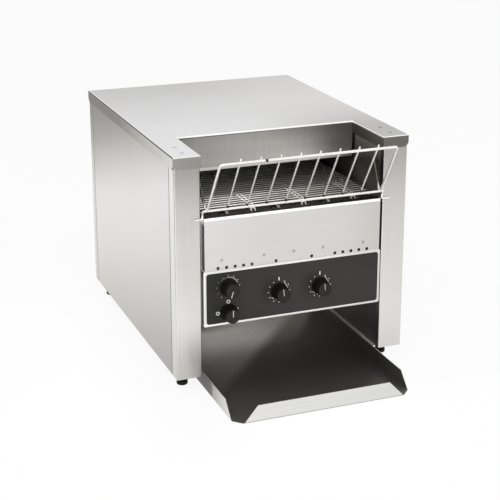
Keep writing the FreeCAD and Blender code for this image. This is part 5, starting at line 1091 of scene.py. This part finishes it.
class TOASTER_OT_stage(FinishOperator, bpy.types.Operator):
    """Pale floor, even studio light and the camera"""
    bl_idname = "toaster.stage"
    bl_label = "Stage"

    def execute(self, context):
        scene = context.scene
        stage = scene.toaster_stage
        self.floor(scene, stage)
        scene.world = self.sky(stage)
        middle = (0.0, 0.0, 0.2)
        fill_power = stage.key_power * 0.35
        for name, place, target, size, power in (
                ("key_lamp", (-1.6, -2.2, 2.6), middle, 2.2, stage.key_power),
                ("fill_lamp", (2.2, -1.4, 1.8), middle, 1.8, fill_power),
                ("low_lamp", (-0.6, -2.6, 0.32), middle, 0.6, stage.low_power),
                ("bay_lamp", (-0.05, -0.04, 0.2), (-0.07, 0.03, 0.0), 0.12, stage.bay_power),
                ("belt_lamp", (-0.16, -0.02, 0.85), (0.0, -0.17, 0.344), 0.12, stage.belt_power)):
            self.lamp(scene, name, place, target, size, power)
        self.camera(scene, stage)
        scene.view_settings.view_transform = "Standard"
        return {"FINISHED"}

    def floor(self, scene, stage):
        work = bmesh.new()
        bmesh.ops.create_circle(work, cap_ends=True, segments=96, radius=stage.floor_size / 2)
        mesh = bpy.data.meshes.new("floor")
        work.to_mesh(mesh)
        work.free()
        floor = bpy.data.objects.new("floor", mesh)
        scene.collection.objects.link(floor)
        mesh.materials.append(self.floor_finish(stage))

    def seen_directly(self, finish):
        """1 for rays that the eye, a mirror or glass sends."""
        path = finish.node("ShaderNodeLightPath")
        seen = finish.maths("MAXIMUM", path.outputs["Is Camera Ray"], path.outputs["Is Glossy Ray"])
        return finish.maths("MAXIMUM", seen, path.outputs["Is Transmission Ray"])

    def floor_finish(self, stage):
        """Matt floor that shows the background's white to the eye and still takes the toaster's shadow."""
        finish = Finish("pale_floor")
        matt = finish.node("ShaderNodeBsdfDiffuse", color=stage.floor_colour)
        glow = finish.node("ShaderNodeEmission", color="FFFFFF", strength=1.0)
        mix = finish.node("ShaderNodeMixShader")
        share = finish.times(self.seen_directly(finish), 0.9)
        for socket, value in zip(mix.inputs, (share, matt.outputs[0], glow.outputs[0])):
            finish.feed(socket, value)
        return finish.end(mix.outputs[0])

    def sky(self, stage):
        """Even light from all round, white to the eye."""
        finish = Finish("studio", world=True)
        strength = finish.between(self.seen_directly(finish), stage.sky, 1.0)
        glow = finish.node("ShaderNodeBackground", color="FFFFFF", strength=strength)
        return finish.end(glow.outputs[0])

    def lamp(self, scene, name, place, target, size, power):
        """A square lamp that looks at a target. The small ones are not seen themselves."""
        small = 0.3
        light = bpy.data.lights.new(name, "AREA")
        light.shape = "SQUARE"
        light.size = size
        light.energy = power
        lamp = bpy.data.objects.new(name, light)
        lamp.location = place
        lamp.rotation_euler = (Vector(target) - Vector(place)).to_track_quat("-Z", "Y").to_euler()
        if size < small:
            lamp.visible_camera = False
            lamp.visible_glossy = False
        scene.collection.objects.link(lamp)

    def camera(self, scene, stage):
        """The photograph's view, from the front left and above."""
        azimuth, elevation = math.radians(-21.2789), math.radians(17.2583)
        aside, above, away = 0.0004, 0.2771, 2.728
        back = Vector((math.sin(azimuth) * math.cos(elevation), -math.cos(azimuth) * math.cos(elevation),
                       math.sin(elevation)))
        right = Vector(UP).cross(back).normalized()
        up = back.cross(right)
        lens = bpy.data.cameras.new("camera")
        lens.sensor_width = 36
        lens.lens = stage.lens
        lens.shift_y = -0.1
        lens.dof.use_dof = False
        camera = bpy.data.objects.new("camera", lens)
        turn = Matrix((right, up, back)).transposed().to_4x4()
        camera.matrix_world = Matrix.Translation(right * aside + up * above + back * away) @ turn
        scene.collection.objects.link(camera)
        scene.camera = camera


class TOASTER_PT_panel(bpy.types.Panel):
    """Lists the toaster's settings and the buttons of its operators"""
    bl_idname = "TOASTER_PT_panel"
    bl_label = "Conveyor Toaster"
    bl_space_type = "VIEW_3D"
    bl_region_type = "UI"
    bl_category = "Toaster"

    def draw(self, context):
        for group in GROUPS:
            settings = getattr(context.scene, group)
            for name in settings.__annotations__:
                self.layout.prop(settings, name)
        for operator in OPERATORS:
            self.layout.operator(operator.bl_idname)


GROUPS = {"toaster_steel": ToasterSteel, "toaster_controls": ToasterControls, "toaster_stage": ToasterStage}
OPERATORS = (
    TOASTER_OT_casing, TOASTER_OT_inner_walls, TOASTER_OT_wirework, TOASTER_OT_drive, TOASTER_OT_knobs,
    TOASTER_OT_dials, TOASTER_OT_studs, TOASTER_OT_tray, TOASTER_OT_screws, TOASTER_OT_stage,
)
CLASSES = (*GROUPS.values(), *OPERATORS, TOASTER_PT_panel)


def register():
    for one in CLASSES:
        bpy.utils.register_class(one)
    for name, group in GROUPS.items():
        setattr(bpy.types.Scene, name, bpy.props.PointerProperty(type=group))


def unregister():
    for name in GROUPS:
        delattr(bpy.types.Scene, name)
    for one in reversed(CLASSES):
        bpy.utils.unregister_class(one)


def main():
    register()
    for operator in OPERATORS:
        family, name = operator.bl_idname.split(".")
        getattr(getattr(bpy.ops, family), name)()


if __name__ == "__main__":
    main()
